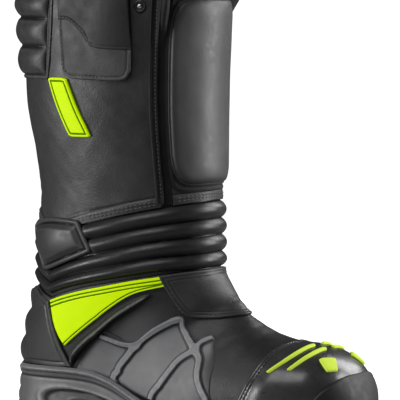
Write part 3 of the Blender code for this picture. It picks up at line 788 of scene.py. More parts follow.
def pad_grid():
    """The collar pad's grid and how much each point puffs, 0 on seams and 1 between them."""
    share = np.linspace(0, 1, 43)[:, None]
    across = np.linspace(0, 1, 84)[None, :]
    s = PAD_TOP + (PAD_BOTTOM - PAD_TOP) * share + pad_bow(across) * (1 - share)
    t = 180 + (67 + 3 * (1 - share) ** 2 - 2 * share ** 3) * (2 * across - 1)
    rib = np.abs(np.sin(math.pi * PAD_RIBS * share)) ** 0.55
    side = np.sin(np.clip(np.minimum(across, 1 - across) / 0.09, 0, 1) * math.pi / 2)
    return s, t, rib * side ** 0.7 * (1.12 - 0.2 * share)


def pad_bow(across):
    """How far the pad's channels sink at its sides, in s."""
    return 0.06 * (2 * across - 1) ** 2


def make_collar_pad():
    """The padded ribs at the back, blown up by a cloth simulation between their seams."""
    s, t, puff = pad_grid()
    started = upper(s, t, 0.9 + 4.6 * puff)
    final = upper(s, t, 0.9 + 6.4 * puff)
    final = inflate(started, upper(s, t, 0.3), puff < 0.12)
    final = started + evened(final - started)
    height = np.einsum("ijk,ijk->ij", final - upper(s, t), outward(s, t))
    made = solid("collar_back_pad", final, upper(s, t, 0.3), height)
    softer = made.modifiers.new("softer", "SUBSURF")
    softer.levels = softer.render_levels = 1
    wear(made, "pad_leather", "shaft")
    path = np.linspace(114, 246, 500)
    bow = pad_bow((path - 113) / 134)
    for rib in range(1, PAD_RIBS):
        f = rib / PAD_RIBS
        level = PAD_TOP + (PAD_BOTTOM - PAD_TOP) * f
        sew(f"collar_channel_stitches_{rib}", level + bow * (1 - f), path, 0.95, "shaft")
    border = Panel([(108, 0.36), (252, 0.36)], [(113, 2.41), (247, 2.41)], 60, 120,
                   crowding=0.9, bow=(-1.5, -1.5))
    rim = border.rim()
    height = 0.8 * bevel(rim, 0.8) * (1 - 0.7 * step(rim, 2.4, 3.2))
    wear(border.build("collar_pad_border", height, 0.05), "leather", "shaft")
    sew("collar_border_stitches", *border.border(1.5, "rbl"), 1.05, "shaft")


def evened(reach, passes=5, most=5.0):
    """A grid of displacements with its small wrinkles blended away and none above most."""
    for _ in range(passes):
        wide = np.pad(reach, ((1, 1), (1, 1), (0, 0)), mode="edge")
        reach = (wide[:-2, 1:-1] + wide[2:, 1:-1] + wide[1:-1, :-2] + wide[1:-1, 2:]
                 + 2 * reach) / 6
    length = np.linalg.norm(reach, axis=-1, keepdims=True)
    return reach * np.minimum(1, most / np.maximum(length, 1e-6))


def inflate(outer, inner, pinned):
    """The outer grid after its padding has pushed it out between pinned seams."""
    rows, columns = outer.shape[:2]
    pad = solid("pad_for_cloth", outer, inner)
    group = pad.vertex_groups.new(name="pinned")
    held = [int(k) for k in np.flatnonzero(pinned)]
    edge = np.zeros((rows, columns), bool)
    edge[[0, -1], :] = True
    edge[:, [0, -1]] = True
    held += [int(k) for k in np.flatnonzero(edge)]
    held += list(range(rows * columns, 2 * rows * columns))
    group.add(held, 1.0, "REPLACE")
    cloth = pad.modifiers.new("cloth", "CLOTH")
    settings = cloth.settings
    settings.quality = 6
    settings.mass = 0.2
    settings.tension_stiffness = settings.compression_stiffness = 12
    settings.shear_stiffness = 4
    settings.bending_stiffness = 3.0
    settings.shrink_min = -0.02
    settings.use_pressure = True
    settings.uniform_pressure_force = 4
    settings.vertex_group_mass = "pinned"
    settings.effector_weights.gravity = 0
    cloth.collision_settings.use_collision = False
    scene = bpy.context.scene
    for moment in range(1, 21):
        scene.frame_set(moment)
    result = pad.evaluated_get(bpy.context.evaluated_depsgraph_get())
    moved = np.array([v.co for v in result.data.vertices], float)
    scene.frame_set(1)
    bpy.data.objects.remove(pad)
    moved = (moved - [SHAFT_X, 0, 0]) / MM
    return moved[:rows * columns].reshape(rows, columns, 3)


def make_collar_binding():
    """The rolled leather edge round the top, with its stitching."""
    rows, columns = 20, 480
    around = ring_angles(0, 0, 360, columns)[0]
    turn = np.radians(np.linspace(0, 360, rows, endpoint=False))[:, None]
    radius = 3.2 + 0.12 * np.sin(np.radians(around * 40))[None, :]
    aside = pleat(0, around)[None, :] - 2.6 + radius * np.cos(turn)
    up = 2.8 + radius * np.sin(turn)
    points = upper(0, around[None, :] + 0 * turn, aside)
    points[..., 2] += up
    faces = grid_faces(rows, columns, True)
    last = (rows - 1) * columns
    faces += [(last + j, last + (j + 1) % columns, (j + 1) % columns, j) for j in range(columns)]
    marks = np.zeros(rows * columns)
    wear(mesh_object("collar_binding", points.reshape(-1, 3), faces, marks), "smooth_leather", "shaft")
    path = np.linspace(0, 360, 1200)
    sew("collar_binding_stitches", 0.10 + 0 * path, path, 0.35 + pleat(0.10, path), "shaft")


def make_shaft_lining():
    t = ring_angles(0, 0, 360, 120)
    s = above_bellows(t) * np.linspace(0, 1, 60)[:, None]
    t = np.broadcast_to(t, s.shape)
    depth = -LEATHER - 1.2
    quilt = 0.5 * line(np.abs(np.sin(np.radians(t * 6))), 0, 0.12) * step(s, 0.3, 0.6)
    height = depth - LINING + 0.3 * ripple(bare(s, t), 40, 4) - quilt
    wear(solid("shaft_lining", upper(s, t, depth), upper(s, t, height), wrap=True), "lining", "ankle")


# ---------------------------------------------------------------- pull loops

STRAP_EDGE = [(103, 1.08), (96, 1.10), (89, 1.36), (82, 1.66), (60.8, 1.72)]
STRAP_FOOT = [(101, 2.2), (97, 2.36), (85, 2.40), (66, 2.40), (61, 2.2)]


def make_straps():
    for word, side in SIDES:
        patch = Panel(STRAP_EDGE, STRAP_FOOT, 44, 70, side)
        height = 2.0 * bevel(patch.rim(), 1.2) - 0.45 * line(patch.away("rbl"), 3.0, 0.6)
        height += 0.15 * ripple(upper(patch.s, patch.t), 18, 6) + 2.6 * step(patch.u, 0.5, 0.95)
        wear(patch.build(f"{word}_strap_patch", height, 0.3), "patch_leather", "shaft")
        sew(f"{word}_patch_stitches", *patch.border(3.0, "rbl"), 2.6, "shaft", (3.2, 2.4, 0.36))
        make_strap(word, side)
        make_neck(word, side)
        make_loop(word, side)
        make_stud(word, side)


def make_strap(word, side):
    """The strap's foot: over the collar edge and down to its curved seam."""
    strap = Panel([(104, 0.0), (64.0, 0.0)], [(t, s + 0.05) for t, s in STRAP_EDGE], 60, 60, side)
    rim = strap.rim()
    height = 2.6 * bevel(rim, 1.4) + 2.8 * step(strap.u, 0.45, 0.95) * step(strap.v, 0.0, 0.3)
    height -= 0.4 * line(strap.away("b"), 2.6, 0.5)
    wear(strap.build(f"{word}_strap_base", height, 0.4, 0.1), "smooth_leather", "shaft", "webbing")
    sew(f"{word}_strap_stitches", *strap.border(2.4, "b"), 4.0, "shaft", (3.0, 2.2, 0.34),
        slot="webbing")


def make_neck(word, side):
    """The webbing between strap and loop, reaching just past the loop's hinge."""
    t = side * np.linspace(67, 100, 40)[None, :]
    z = np.linspace(-3, LOOP_Z - COLLAR + 1, 24)[:, None]
    outer, inner = upper(0, t + 0 * z, 2.3), upper(0, t + 0 * z, 0.7)
    outer[..., 2] += z
    inner[..., 2] += z
    made = solid(f"{word}_loop_neck", outer, inner)
    made.data.materials.append(MATERIALS["webbing"])
    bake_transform(made)


def make_loop(word, side):
    """The folded webbing loop, standing above its hinge line."""
    columns, tall = 28, 26.0
    t = side * np.linspace(66, 101, columns)
    turn = np.radians(np.linspace(0, 180, 13))
    half, thin = 2.0, 0.75                             # of the gap in the fold, and of the webbing
    up_leg = [(0.35 + 0.9 * f, tall * f) for f in np.linspace(0, 1, 12)[:-1]]
    arch = [(3.25 - half * math.cos(a), tall + half * math.sin(a)) for a in turn]
    down_leg = [(5.25 - 3.6 * f, tall * (1 - f)) for f in np.linspace(0, 1, 12)[1:]]
    path = np.array(up_leg + arch + down_leg)
    ahead = np.gradient(path, axis=0)
    normal = np.stack([-ahead[:, 1], ahead[:, 0]], -1)
    normal /= np.linalg.norm(normal, axis=1, keepdims=True)
    foot = upper(0, t, 0.6)
    out = outward(np.zeros_like(t), t)
    edge = np.clip((17 - np.abs(np.linspace(-17, 17, columns))) / 1.2, 0.25, 1)

    def sheet(away):
        line_at = path[:, None, :] + normal[:, None, :] * (away * thin * edge)[None, :, None]
        points = foot[None] + out[None] * line_at[..., :1]
        points[..., 2] += LOOP_Z - COLLAR + 0.3 + line_at[..., 1]
        return points

    wear(solid(f"{word}_pull_loop", sheet(1.0), sheet(-1.0)), "webbing", f"{word}_loop")


def make_stud(word, side):
    """The steel stud on its dished washer, both turned from (radius, height) profiles."""
    s, t = 0.78, side * 57.2
    base = upper(s, t, 0.2)
    out = outward(np.array(float(s)), np.array(float(t)))
    up = np.array([0, 0, 1.0])
    aside = np.cross(up, out)
    washer = [(0.05, 0), (4.4, 0), (4.7, 0.5), (4.5, 1.0), (3.9, 1.3), (3.2, 1.0), (0.05, 0.9)]
    dome = [(2.0 * math.cos(a), 0.8 + 1.5 * math.sin(a)) for a in np.radians(np.arange(0, 88, 11))]
    dome = [(0.05, 0.5), (2.0, 0.5), *dome, (0.05, 2.3)]
    turn = np.radians(np.arange(0, 360, 12))
    sides = len(turn)
    for name, profile, finish in (("stud_washer", washer, "bellows"), ("stud", dome, "steel")):
        rings = np.array([[base + out * h + r * (math.cos(a) * up + math.sin(a) * aside)
                           for a in turn] for r, h in profile])
        faces = grid_faces(len(profile), sides, True)
        last = (len(profile) - 1) * sides
        faces += [list(range(sides)), list(range(last + sides - 1, last - 1, -1))]
        made = mesh_object(f"{word}_{name}", rings.reshape(-1, 3), faces, np.zeros(last + sides))
        wear(made, finish, "shaft", "steel")


def make_badges():
    """A plain slanted lozenge with a raised rim, where the shaft carries its marker."""
    for word, side in SIDES:
        badge = Panel([(112, 2.36), (98.5, 2.36)], [(100, 3.64), (86.5, 3.64)], 60, 40, side,
                      rounded=False, corner=0.05, power=6)
        rim = badge.rim()
        groove = line(rim, 2.6, 0.5)
        height = 2.3 * bevel(rim, 1.0) - 0.9 * groove
        # dark=groove paints shade into the groove inside the rim
        wear(badge.build(f"{word}_shaft_badge", height, 0.3, dark=groove), "vivid", "shaft")


# ---------------------------------------------------------------- ankle

def make_bellows():
    """The ribbed band, flat under the ankle guards, and the lining behind it."""
    t = ring_angles(6, 0, 360, 260)
    share = np.linspace(-0.02, 1.02, 90)[:, None]
    s = BELLOWS_TOP + dip(t) + (BELLOWS_BOTTOM - BELLOWS_TOP) * share
    t = np.broadcast_to(t, s.shape)
    ribbed = 1 - (1 - RIB_SHARE) * step(turned(t), 20, 60)
    wave = np.abs(np.sin(math.pi * RIBS * np.clip(share / ribbed, 0, 1)))
    right = 98.5 - 17.5 * (share + 0.1)
    left = 152 - 46 * (share - 0.09)
    under = step(turned(t), right, right + 3) * (1 - step(turned(t), left - 4, left - 1))
    under = under * (1 - step(share, 0.44, 0.50))
    height = 4.4 * wave ** 0.7 * (1 - 0.93 * under) - 0.9
    height = np.where((share < 0) | (share > 1), -1.6, height)
    made = solid("ankle_bellows", upper(s, t, height), upper(s, t, -LEATHER), height, True)
    wear(made, "bellows", "ankle")
    depth = -LEATHER - 1.2
    t = ring_angles(6, 0, 360, 100)
    s = above_bellows(t) + (below_bellows(t) - above_bellows(t)) * np.linspace(0, 1, 16)[:, None]
    t = np.broadcast_to(t, s.shape)
    made = solid("ankle_lining", upper(s, t, depth), upper(s, t, depth - LINING), wrap=True)
    wear(made, "lining", "ankle")


def make_protectors():
    for word, side in SIDES:
        guard = Panel([(152, 5.80), (138, 5.66), (121, 5.58), (99, 5.60)],
                      [(131, 6.93), (121, 6.84), (108, 6.66), (90, 6.40)], 56, 80, side,
                      corner=0.045, power=7)
        rim = guard.rim()
        height = 3.4 * bevel(rim, 1.4) - 1.5 * line(rim, 4.0, 0.9)
        dome = (1 - (2 * guard.u - 1) ** 2) * (1 - (2 * guard.v - 1) ** 2)
        height += 4.2 * dome * step(rim, 4.2, 9)
        wear(guard.build(f"{word}_ankle_protector", height, 0.5), "guard", "ankle")


# ---------------------------------------------------------------- foot

def make_quarter():
    rows = 120
    t = ring_angles(np.linspace(6.9, SPLIT, rows), 0, 360, 200)
    s = below_bellows(t) + (SPLIT - below_bellows(t)) * spread(rows, 0.25)[:, None]
    height = foot_waves(s, t)
    low = (s - below_bellows(t)) * 26                  # in millimetres
    height += 0.5 * step(low, 0.0, 1.0) * (1 - step(low, 4.0, 5.0)) - 0.3 * line(low, 5.6, 0.7)
    # a paler stretch of the foot leather on each side, about 70 degrees round from the ridge, from s
    # 8.3 to 9.6
    paler = line(turned(t), 70, 16) * step(s, 8.3, 9.6)
    made = solid("foot_quarter", upper(s, t, height), upper(s, t, -LEATHER), height, True,
                 tone=1 - 0.9 * paler)
    wear(made, "foot_leather", "ankle")
    path = np.linspace(0, 360, 1400)
    sew("quarter_seam_stitches", below_bellows(path) + 0.1, path, 0.85)


def foot_waves(s, t):
    """The foot leather's gentle unevenness, in millimetres."""
    return 0.3 * ripple(bare(s, t), 60, 1)


def make_vamp():
    s = SPLIT + (21.97 - SPLIT) * (1 - (1 - np.linspace(0, 1, 120)) ** 1.15)
    t = ring_angles(s, 0, 360, 180)
    s = s[:, None] + 0 * t
    creases = sum(line(s, 14.1 + k + 0.25 * np.cos(np.radians(2 * t)), 0.3) for k in (0, 1.1))
    height = foot_waves(s, t)
    height -= 0.25 * creases * (1 - step(turned(t), 40, 70))
    made = solid("vamp", upper(s, t, height), upper(s, t, -LEATHER), height, True, capped=True)
    wear(made, "foot_leather", "foot")


LINING_DEPTH = LEATHER + 3.2                          # room for the toe cap and the stiffener


def make_foot_lining():
    rows, last = 70, 20.4
    t = ring_angles(np.linspace(7.2, last, rows), 0, 360, 80)
    s = below_bellows(t) + 0.02
    s = s + (last - s) * np.linspace(0, 1, rows)[:, None]
    outer, inner = upper(s, t, -LINING_DEPTH), upper(s, t, -LINING_DEPTH - LINING)
    wear(solid("foot_lining", outer, inner, wrap=True, capped=True), "lining", "ankle")


def make_footbed():
    """The loose inner sole: its top is dimpled and turns up at the edge."""
    depth = -LINING_DEPTH - LINING
    s = np.linspace(11.8, 19.2, 80)
    t = ring_angles(s, 132, 228, 40)
    s = s[:, None] + 0 * t
    edge = np.minimum(np.abs(t - 132), np.abs(228 - t))
    dimples = 0.3 * np.sin(s * 18) * np.sin(np.radians(t * 18))
    height = depth - 4.8 + 1.4 * (1 - step(edge, 0, 9)) + dimples
    wear(solid("footbed", upper(s, t, depth - 1.2), upper(s, t, height)), "foam", "footbed")


def both_sides(half):
    """A line of (t, s) from its lateral half, which starts on the ridge."""
    return [(-t, s) for t, s in half[:0:-1]] + half


def make_instep_panel():
    """The leather over the crease, padded so that it bridges the bend."""
    panel = Panel(both_sides([(0, 6.98), (18, 6.99), (36, 7.03), (51, 7.12)]),
                  both_sides([(0, 12.72), (25, 12.0), (39, 10.5), (45, 8.95)]), 90, 100)
    rim = panel.rim()
    height = 1.7 * bevel(rim, 0.9) - 0.35 * line(rim, 2.6, 0.5) - 0.35 * line(rim, 5.2, 0.5)
    waves = ripple(upper(panel.s, panel.t), 40, 7) * step(rim, 4, 9)
    fold = line(panel.v, 0.26, 0.10) * step(rim, 6, 12)
    height += 0.2 * waves - 0.35 * fold
    height += 2.2 * step(rim, 4, 18)
    wear(panel.build("instep_panel", height, 0.5), "leather", "ankle")
    for index, inset in enumerate((2.6, 5.2)):
        sew(f"instep_stitches_{index + 1}", *panel.border(inset, "rbl"), 1.9, size=(3.4, 2.5))


def make_heel_counter():
    panel = Panel([(125.5, 7.97), (150, 7.52), (180, 7.50), (210, 7.52), (234.5, 7.97)],
                  [(101, 10.8), (134, 10.1), (180, 9.75), (226, 10.1), (259, 10.8)], 100, 150,
                  bow=(-1.0, -1.0))
    rim = panel.rim()
    height = 2.3 * bevel(rim, 1.2)
    z = upper(panel.s, panel.t)[..., 2]
    ridges = np.abs(np.cos(math.pi * (z - 91) / 21.5)) ** 0.9
    height += 4.2 * ridges * step(turned(panel.t), 148, 172) * step(rim, 0.5, 4.0)
    height -= 0.5 * line(rim, 4.2, 0.7) * (1 - step(turned(panel.t), 146, 156))
    wear(panel.build("heel_counter", height, 0.5), "guard", "ankle", "black_leather")


HI_VIS_TOP = [(124, 7.93), (105, 7.68), (86, 7.46), (68, 7.27), (50.5, 7.15)]
HI_VIS_LOW = [(107, 9.70), (95, 9.08), (84, 8.50), (68, 7.90), (48.5, 7.62)]


def make_side_panels():
    for word, side in SIDES:
        panel = Panel(HI_VIS_TOP, HI_VIS_LOW, 64, 130, side, bow=(1.0, 0.0))
        top, low = panel.away("t"), panel.away("b")
        groove = line(top, 2.5, 0.45) + line(top, 5.2, 0.45) + line(low, 1.8, 0.4)
        height = 1.9 * bevel(panel.rim(), 0.7) - 0.9 * groove
        # dark=groove paints shade into the panel's grooves
        wear(panel.build(f"{word}_hi_vis_panel", height, 0.4, dark=groove), "vivid", "ankle")
        make_fin(word, side)
        make_web(word, side)


def make_fin(word, side):
    """The blade under the yellow panel: it climbs to a crisp ridge, then drops away, with a painted
    highlight on its ridge and painted shadow on the face below.
    """
    fin = Panel([(104, 10.2), (100, 9.72), (92, 9.22), (79, 8.55), (66, 8.10), (59, 7.98)],
                [(101, 11.1), (98, 10.85), (92, 10.15), (80, 9.25), (66.5, 8.62), (59, 8.15)],
                44, 100, side)
    along = step(fin.u, 0.0, 0.2) * (1 - 0.9 * step(fin.u, 0.5, 1.0))
    ridge = 0.40
    climb = np.where(fin.v < ridge, (fin.v / ridge) ** 1.3, 1 - step(fin.v, ridge, 0.80))
    height = 7.0 * climb * (0.15 + 0.85 * along)
    # a painted highlight along the ridge
    painted_ridge_highlight = line(fin.v, ridge - 0.03, 0.12)
    painted_ridge_highlight = painted_ridge_highlight * step(fin.u, 0.0, 0.12) * (1 - step(fin.u, 0.8, 0.95))
    # painted shadow on the face below the ridge, and the ridge made paler
    dark = 0.4 * step(fin.v, ridge + 0.12, ridge + 0.3) - 1.6 * painted_ridge_highlight
    wear(fin.build(f"{word}_fin", height, 0.3, 0.15, dark=dark), "fin", "ankle")


WEB_TOP = [(97, 10.7), (87, 9.5), (79, 9.95), (70, 10.75), (59, 10.1), (47, 9.8), (43.5, 10.4),
           (47, 11.8), (50, 12.7), (42, 13.1), (50, 13.9), (62, 14.6)]
WEB_FOOT = [(100, 11.1), (97, 11.4), (95, 11.9), (95, 12.3), (96, 12.7), (98, 13.0), (100, 13.3),
            (102, 13.7), (103, 14.1), (103, 14.5), (103, 14.9), (101, 15.5)]
WEB_RIBS = [                                           # a line of (t, s) and its half width
    ([(87, 9.75), (82, 10.1), (76, 10.6), (70, 11.13)], 2.0),
    ([(70, 11.13), (60, 10.5), (48, 10.03)], 2.5),
    ([(70, 11.13), (78.5, 11.64), (88, 12.05), (97, 12.6)], 2.8),
    ([(48, 10.03), (44.5, 10.4), (49, 11.9), (57, 13.31)], 2.8),
    ([(57, 13.31), (50, 13.1), (43, 13.24)], 2.2),
    ([(57, 13.31), (67, 13.25), (80, 13.45), (103, 13.75)], 2.6),
    ([(57, 13.31), (63, 13.9), (75, 14.4), (89, 15.07), (99, 15.4)], 2.8),
]


def make_web(word, side):
    """The grey moulded web on the foot's side: ribs meeting in knots over a sunken field."""
    web = Panel(WEB_TOP, WEB_FOOT, 110, 230, side, crowding=0.35)
    points = upper(web.s, web.t)
    rim = web.rim()
    height = 0.4 * step(rim, 0.0, 5.0)
    joined = np.zeros(rim.shape)                       # a soft union: knots where ribs meet
    sharpness = 1.1
    for path, half in WEB_RIBS:
        route = curve(path, 60)
        away = nearest(dense(upper(route[:, 1], side * route[:, 0])), points)
        joined += np.exp(-sharpness * (away - half))
    beyond = -np.log(joined + 1e-30) / sharpness
    proud = 1 - step(beyond, -0.7, 0.15)
    beside = line(beyond, 0.9, 0.9)
    height = np.maximum(height, (2.2 * proud + 0.4) * step(rim, 0.0, 1.2))
    # tone: the field's grey fades to dark near its right edge and near its top, where the fade both
    # blends into the leather and paints the fin's shadow; ribs keep their grey
    tone = step(web.away("r"), 0.5, 18.0) * step(web.away("t"), 0.0, 5.0)
    tone = np.maximum(tone, 0.85 * proud)
    # dark paints shadow on the field beside the ribs and, negative on the ribs, a painted highlight on
    # them
    dark = 0.45 * beside * (1 - proud) - 0.35 * proud
    floor = foot_waves(web.s, web.t) + 0.06
    made = web.build(f"{word}_side_web", height, floor, 0.02, dark=dark, tone=tone)
    wear(made, "web", "foot")


# ---------------------------------------------------------------- toe

TIP_SHARES = (0.75, 0.5, 0.25, 0.01)                  # of the last row, as it closes on the tip


def toe_seam(t):
    """s of the toe cover's rear edge."""
    return 16.95 - 0.85 * np.clip(np.abs(t) / 90, 0, 1)


def closed_tip(grid, bulge=0.8):
    """A grid whose last row, round the toe's tip, is closed by rows that shrink to its middle."""
    last = grid[-1]
    middle = np.array([last[:, 0].max() + bulge, last[:, 1].mean(), last[:, 2].min()])
    rows = [middle + (last - middle) * share for share in TIP_SHARES]
    return np.concatenate([grid, rows])


def closed_solid(name, outer, inner, height):
    """A solid between two grids that are both closed over the toe's tip."""
    height = np.pad(height, ((0, len(TIP_SHARES)), (0, 0)), mode="edge")
    return solid(name, closed_tip(outer), closed_tip(inner), height)


def make_toe_cover():
    rows, columns = 110, 130
    share = spread(rows, 0.35)[:, None]
    t = np.linspace(-99, 99, columns)[None, :]
    s = toe_seam(t) + (21.9 - toe_seam(t)) * share
    t = t + 0 * s
    points = upper(s, t)
    seam = nearest(dense(points[0]), points)
    height = 0.8 * bevel(seam, 0.9) - 0.4 * line(seam, 2.4, 0.5) - 0.4 * line(seam, 4.8, 0.5)
    height += 0.9 * step(seam, 6, 16)
    wear(closed_solid("toe_cover", upper(s, t, 0.5 + height), upper(s, t, 0.3), height), "toe", "foot")
    angle = np.linspace(-97, 97, 800)
    for index, away in enumerate((0.13, 0.25)):
        sew(f"toe_stitches_{index + 1}", toe_seam(angle) + away, angle, 1.0, "foot", (3.2, 2.4),
            "dark_thread")


def make_bumper():
    """The rubber wrapped over the toe's front, with an arched upper edge."""
    ridge = both_sides([(0, 20.56), (30, 20.40), (62, 19.98), (80, 19.55), (94, 19.1)])
    panel = Panel(ridge, [(t, 21.93) for t, _ in ridge], 56, 130)
    points = upper(panel.s, panel.t)
    edge = nearest(dense(points[0]), points)
    height = 1.6 * bevel(edge, 2.0) + 0.5 * step(edge, 2, 14)
    outer, inner = upper(panel.s, panel.t, 2.4 + height), upper(panel.s, panel.t, 2.0)
    wear(closed_solid("toe_bumper", outer, inner, height), "bumper", "foot")


def make_bars():
    """The raised yellow bars and markers over the toe."""
    shapes = [("rear_toe_bar", [(60, 16.98), (45, 17.52), (28, 17.86), (5, 18.04)],
               [(60, 17.22), (45, 17.76), (28, 18.10), (5, 18.28)]),
              ("front_toe_bar", [(56, 17.88), (44, 18.20), (27, 18.48), (5, 18.62)],
               [(56, 18.12), (44, 18.44), (27, 18.72), (5, 18.86)]),
              ("toe_badge", [(32, 18.98), (14, 19.50)], [(47, 19.62), (34, 20.02)])]
    for word, side in SIDES:
        for name, top, bottom in shapes:
            if name == "toe_badge":
                bar = Panel(top, bottom, 26, 30, side, corner=0.10, power=5)
            else:
                bar = Panel(top, bottom, 22, 90, side)
                y = 2 * bar.v - 1
                reach = np.abs(2 * bar.u - 1)
                narrow = np.sqrt(1 - 0.93 * np.clip((reach - 0.91) / 0.09, 0, 1) ** 2)
                bar.s, bar.t = bar.at(bar.u, (y * narrow + 1) / 2)
            points = upper(bar.s, bar.t)
            border = [points[0], points[:, -1], points[-1, ::-1], points[::-1, 0]]
            rim = nearest(dense(np.concatenate(border), 0.15), points)
            rim[[0, -1], :] = 0
            rim[:, [0, -1]] = 0
            wear(bar.build(f"{word}_{name}", 2.1 * bevel(rim, 1.4), 2.0), "vivid_toe", "foot")


# ---------------------------------------------------------------- sole

OUTLINE = [(-95, 0), (-89, -22), (-71, -39), (-40, -44), (0, -44), (40, -47), (80, -52), (120, -55),
           (154, -52), (182, -37), (199, -16), (205, 8), (199, 30), (182, 46), (154, 57), (120, 59),
           (80, 54), (40, 46), (0, 44), (-40, 44), (-71, 39), (-89, 22)]


def outline(grow, count=360):
    """The sole's plan as a smooth closed curve, grown outwards by grow."""
    knots = np.array(OUTLINE, float)
    where = np.linspace(0, len(knots), count, endpoint=False)
    first = where.astype(int)
    around = (knots[(first + k) % len(knots)] for k in (-1, 0, 1, 2))
    points = smooth_between(*around, (where - first)[:, None])
    ahead = np.roll(points, -1, 0) - np.roll(points, 1, 0)
    normal = np.stack([ahead[:, 1], -ahead[:, 0]], 1)
    normal /= np.linalg.norm(normal, axis=1, keepdims=True)
    return points + normal * np.reshape(grow, (-1, 1))


def toe_spring(x):
    """How far the sole's toe lifts off the floor."""
    return 9 * np.clip((x - 125) / 84, 0, 1) ** 2


def tread_top(x):
    """Height of the line between the tread and the midsole."""
    return np.interp(x, (-100, -20, 50, 90), (20, 19, 11, 9.5)) + toe_spring(x)


RIM_X = (-100, -20, 0, 20, 40, 60, 80, 150, 210)
RIM_Z = (BEAD, BEAD, 57, 48, 37, 31, 28, 30, 36)


def rim_top(x):
    """Height of the midsole's rim, its knots blended with what lies 12 mm either way."""
    shifts = (0, -12, -6, 6, 12)
    return sum(np.interp(x + shift, RIM_X, RIM_Z) for shift in shifts) / len(shifts)


WALL_STEPS, BEAD_STEPS = 30, 12                        # rows of the wall and of its bead


def wall_rows():
    """The midsole's side as rows of (grow, height): skirt, body, rolled bead and ledge.

    The ledge reaches in under the vamp, and stops short of the footbed at the heel.
    """
    x = outline(0)[:, 0]
    low, high = tread_top(x) + 0.3, rim_top(x)
    heel_end = step(-x, 74, 90)
    bead = np.where(x < 30, 5.2, 5.2 - 2.0 * step(x, 30, 80))
    rows = [(np.full(len(x), -7.0), low)]
    for f in np.linspace(0, 1, WALL_STEPS):
        z = low + (high - bead - low) * f
        grow = 2.2 - 2.2 * step(f, 0, 0.9) - 1.2 * heel_end
        grow = grow - 0.9 * line(high - bead - z, 3.4, 0.8) * step(x, 80, 60)
        grow = grow + wall_relief(x, z)
        rows.append((grow * np.ones(len(x)), z))
    for g in np.linspace(0, 1, BEAD_STEPS)[1:]:
        bulge = 2.9 * np.sin(math.pi * min(g, 0.93)) * (1 - 0.8 * heel_end) - 3.0 * heel_end * g
        rows.append((0.1 + bulge, high - bead * (1 - g)))
    rows.append((np.full(len(x), -3.5), high - 0.8))
    rows.append((np.full(len(x), -9.0), high - 2.6))
    wide = step(x, 20, 60)
    rows.append((-9.2 - 7.8 * wide, high - 2.8 - 4.2 * wide))
    rows.append((-9.5 - 8.0 * wide, low + 0.2))
    return rows


def lens_at(x, z):
    """Below 1 inside the lens on the heel's wall."""
    return ((x + 14) / 42) ** 2 + ((z - 29 + 0.16 * (x + 14)) / 13.5) ** 2


def wall_relief(x, z):
    """Raised and sunken areas on the sole's wall, in millimetres."""
    lens = lens_at(x, z)
    relief = -2.2 * (1 - step(lens, 0.72, 0.95)) + 0.5 * line(lens, 1.08, 0.10)
    relief += 1.5 * (1 - step(lens, 0.12, 0.22))
    flutes = np.abs(np.sin(math.pi * x / 11))
    relief += 1.0 * (flutes ** 4) * step(x, 66, 84) * (1 - step(x, 176, 196))
    back = step(-x, 78, 84)
    relief += 1.1 * back * np.abs(np.sin(math.pi * z / 10)) ** 0.8
    return relief


def loft(name, rows, shade=0.0):
    """A closed solid from rows of (grow, height) round the sole's outline, ends ruled across.

    shade adds to the marks that lighten or darken each point.
    """
    points = np.stack([np.column_stack([outline(grow), z]) for grow, z in rows])
    count, columns = points.shape[:2]
    faces = [face[::-1] for face in grid_faces(count, columns, True)]
    for start, flip in ((0, 1), ((count - 1) * columns, -1)):
        for i in range(1, columns // 2 - 1):
            far = columns - i
            quad = (start + i, start + i + 1, start + far - 1, start + far % columns)
            faces.append(quad[::flip])
        ends = [(start, start + 1, start + columns - 1),
                (start + columns // 2 - 1, start + columns // 2, start + columns // 2 + 1)]
        faces += [end[::flip] for end in ends]
    grow = np.stack([np.broadcast_to(np.reshape(g, -1), columns) for g, _ in rows])
    values = crest(np.where(np.abs(grow) > 3.4, 0.0, grow), True) + shade
    return mesh_object(name, points.reshape(-1, 3), faces, values.ravel(), sharp=50)


def make_midsole():
    """The wavy wall: its bead carries a painted highlight, and the lens at the heel painted shade
    inside and a painted highlight on its rim.
    """
    rows = wall_rows()
    x = outline(0)[:, 0]
    z = np.stack([level * np.ones(len(x)) for _, level in rows])
    lens = lens_at(x, z)
    on_bead = np.zeros(z.shape)
    on_bead[WALL_STEPS + 1:WALL_STEPS + BEAD_STEPS] = 0.35
    # painted highlight on the bead and the lens's rim, painted shade inside the lens
    shade = on_bead - 0.4 * (1 - step(lens, 0.75, 0.95)) + 0.2 * line(lens, 1.05, 0.08)
    wear(loft("midsole", rows, shade), "sole", "foot")


LUG_DEPTH = 5.5


def make_outsole():
    """The tread: a base slab with edge lugs round all but the arch, and blocks down the middle."""
    x = outline(0)[:, 0]
    top = tread_top(x)
    notch = 2.2 * step(np.sin(np.arange(len(x)) * math.pi * 2 / 9), 0.2, 0.6)
    arch = step(x, -24, -14) * (1 - step(x, 46, 58))
    bottom = toe_spring(x) + LUG_DEPTH + 2.5 * arch
    rows = [(np.full(len(x), -6.0), bottom)]
    for f in np.linspace(0, 1, 14):
        grow = 1.2 + 1.6 * step(f, 0, 0.35) - notch * (1 - step(f, 0.45, 0.75)) * (1 - arch)
        rows.append((grow, bottom + (top - bottom) * f))
    rows.append((np.full(len(x), -4.0), top + 0.1))
    wear(loft("outsole", rows), "tread", "foot")
    wear(make_lugs(), "tread", "foot")


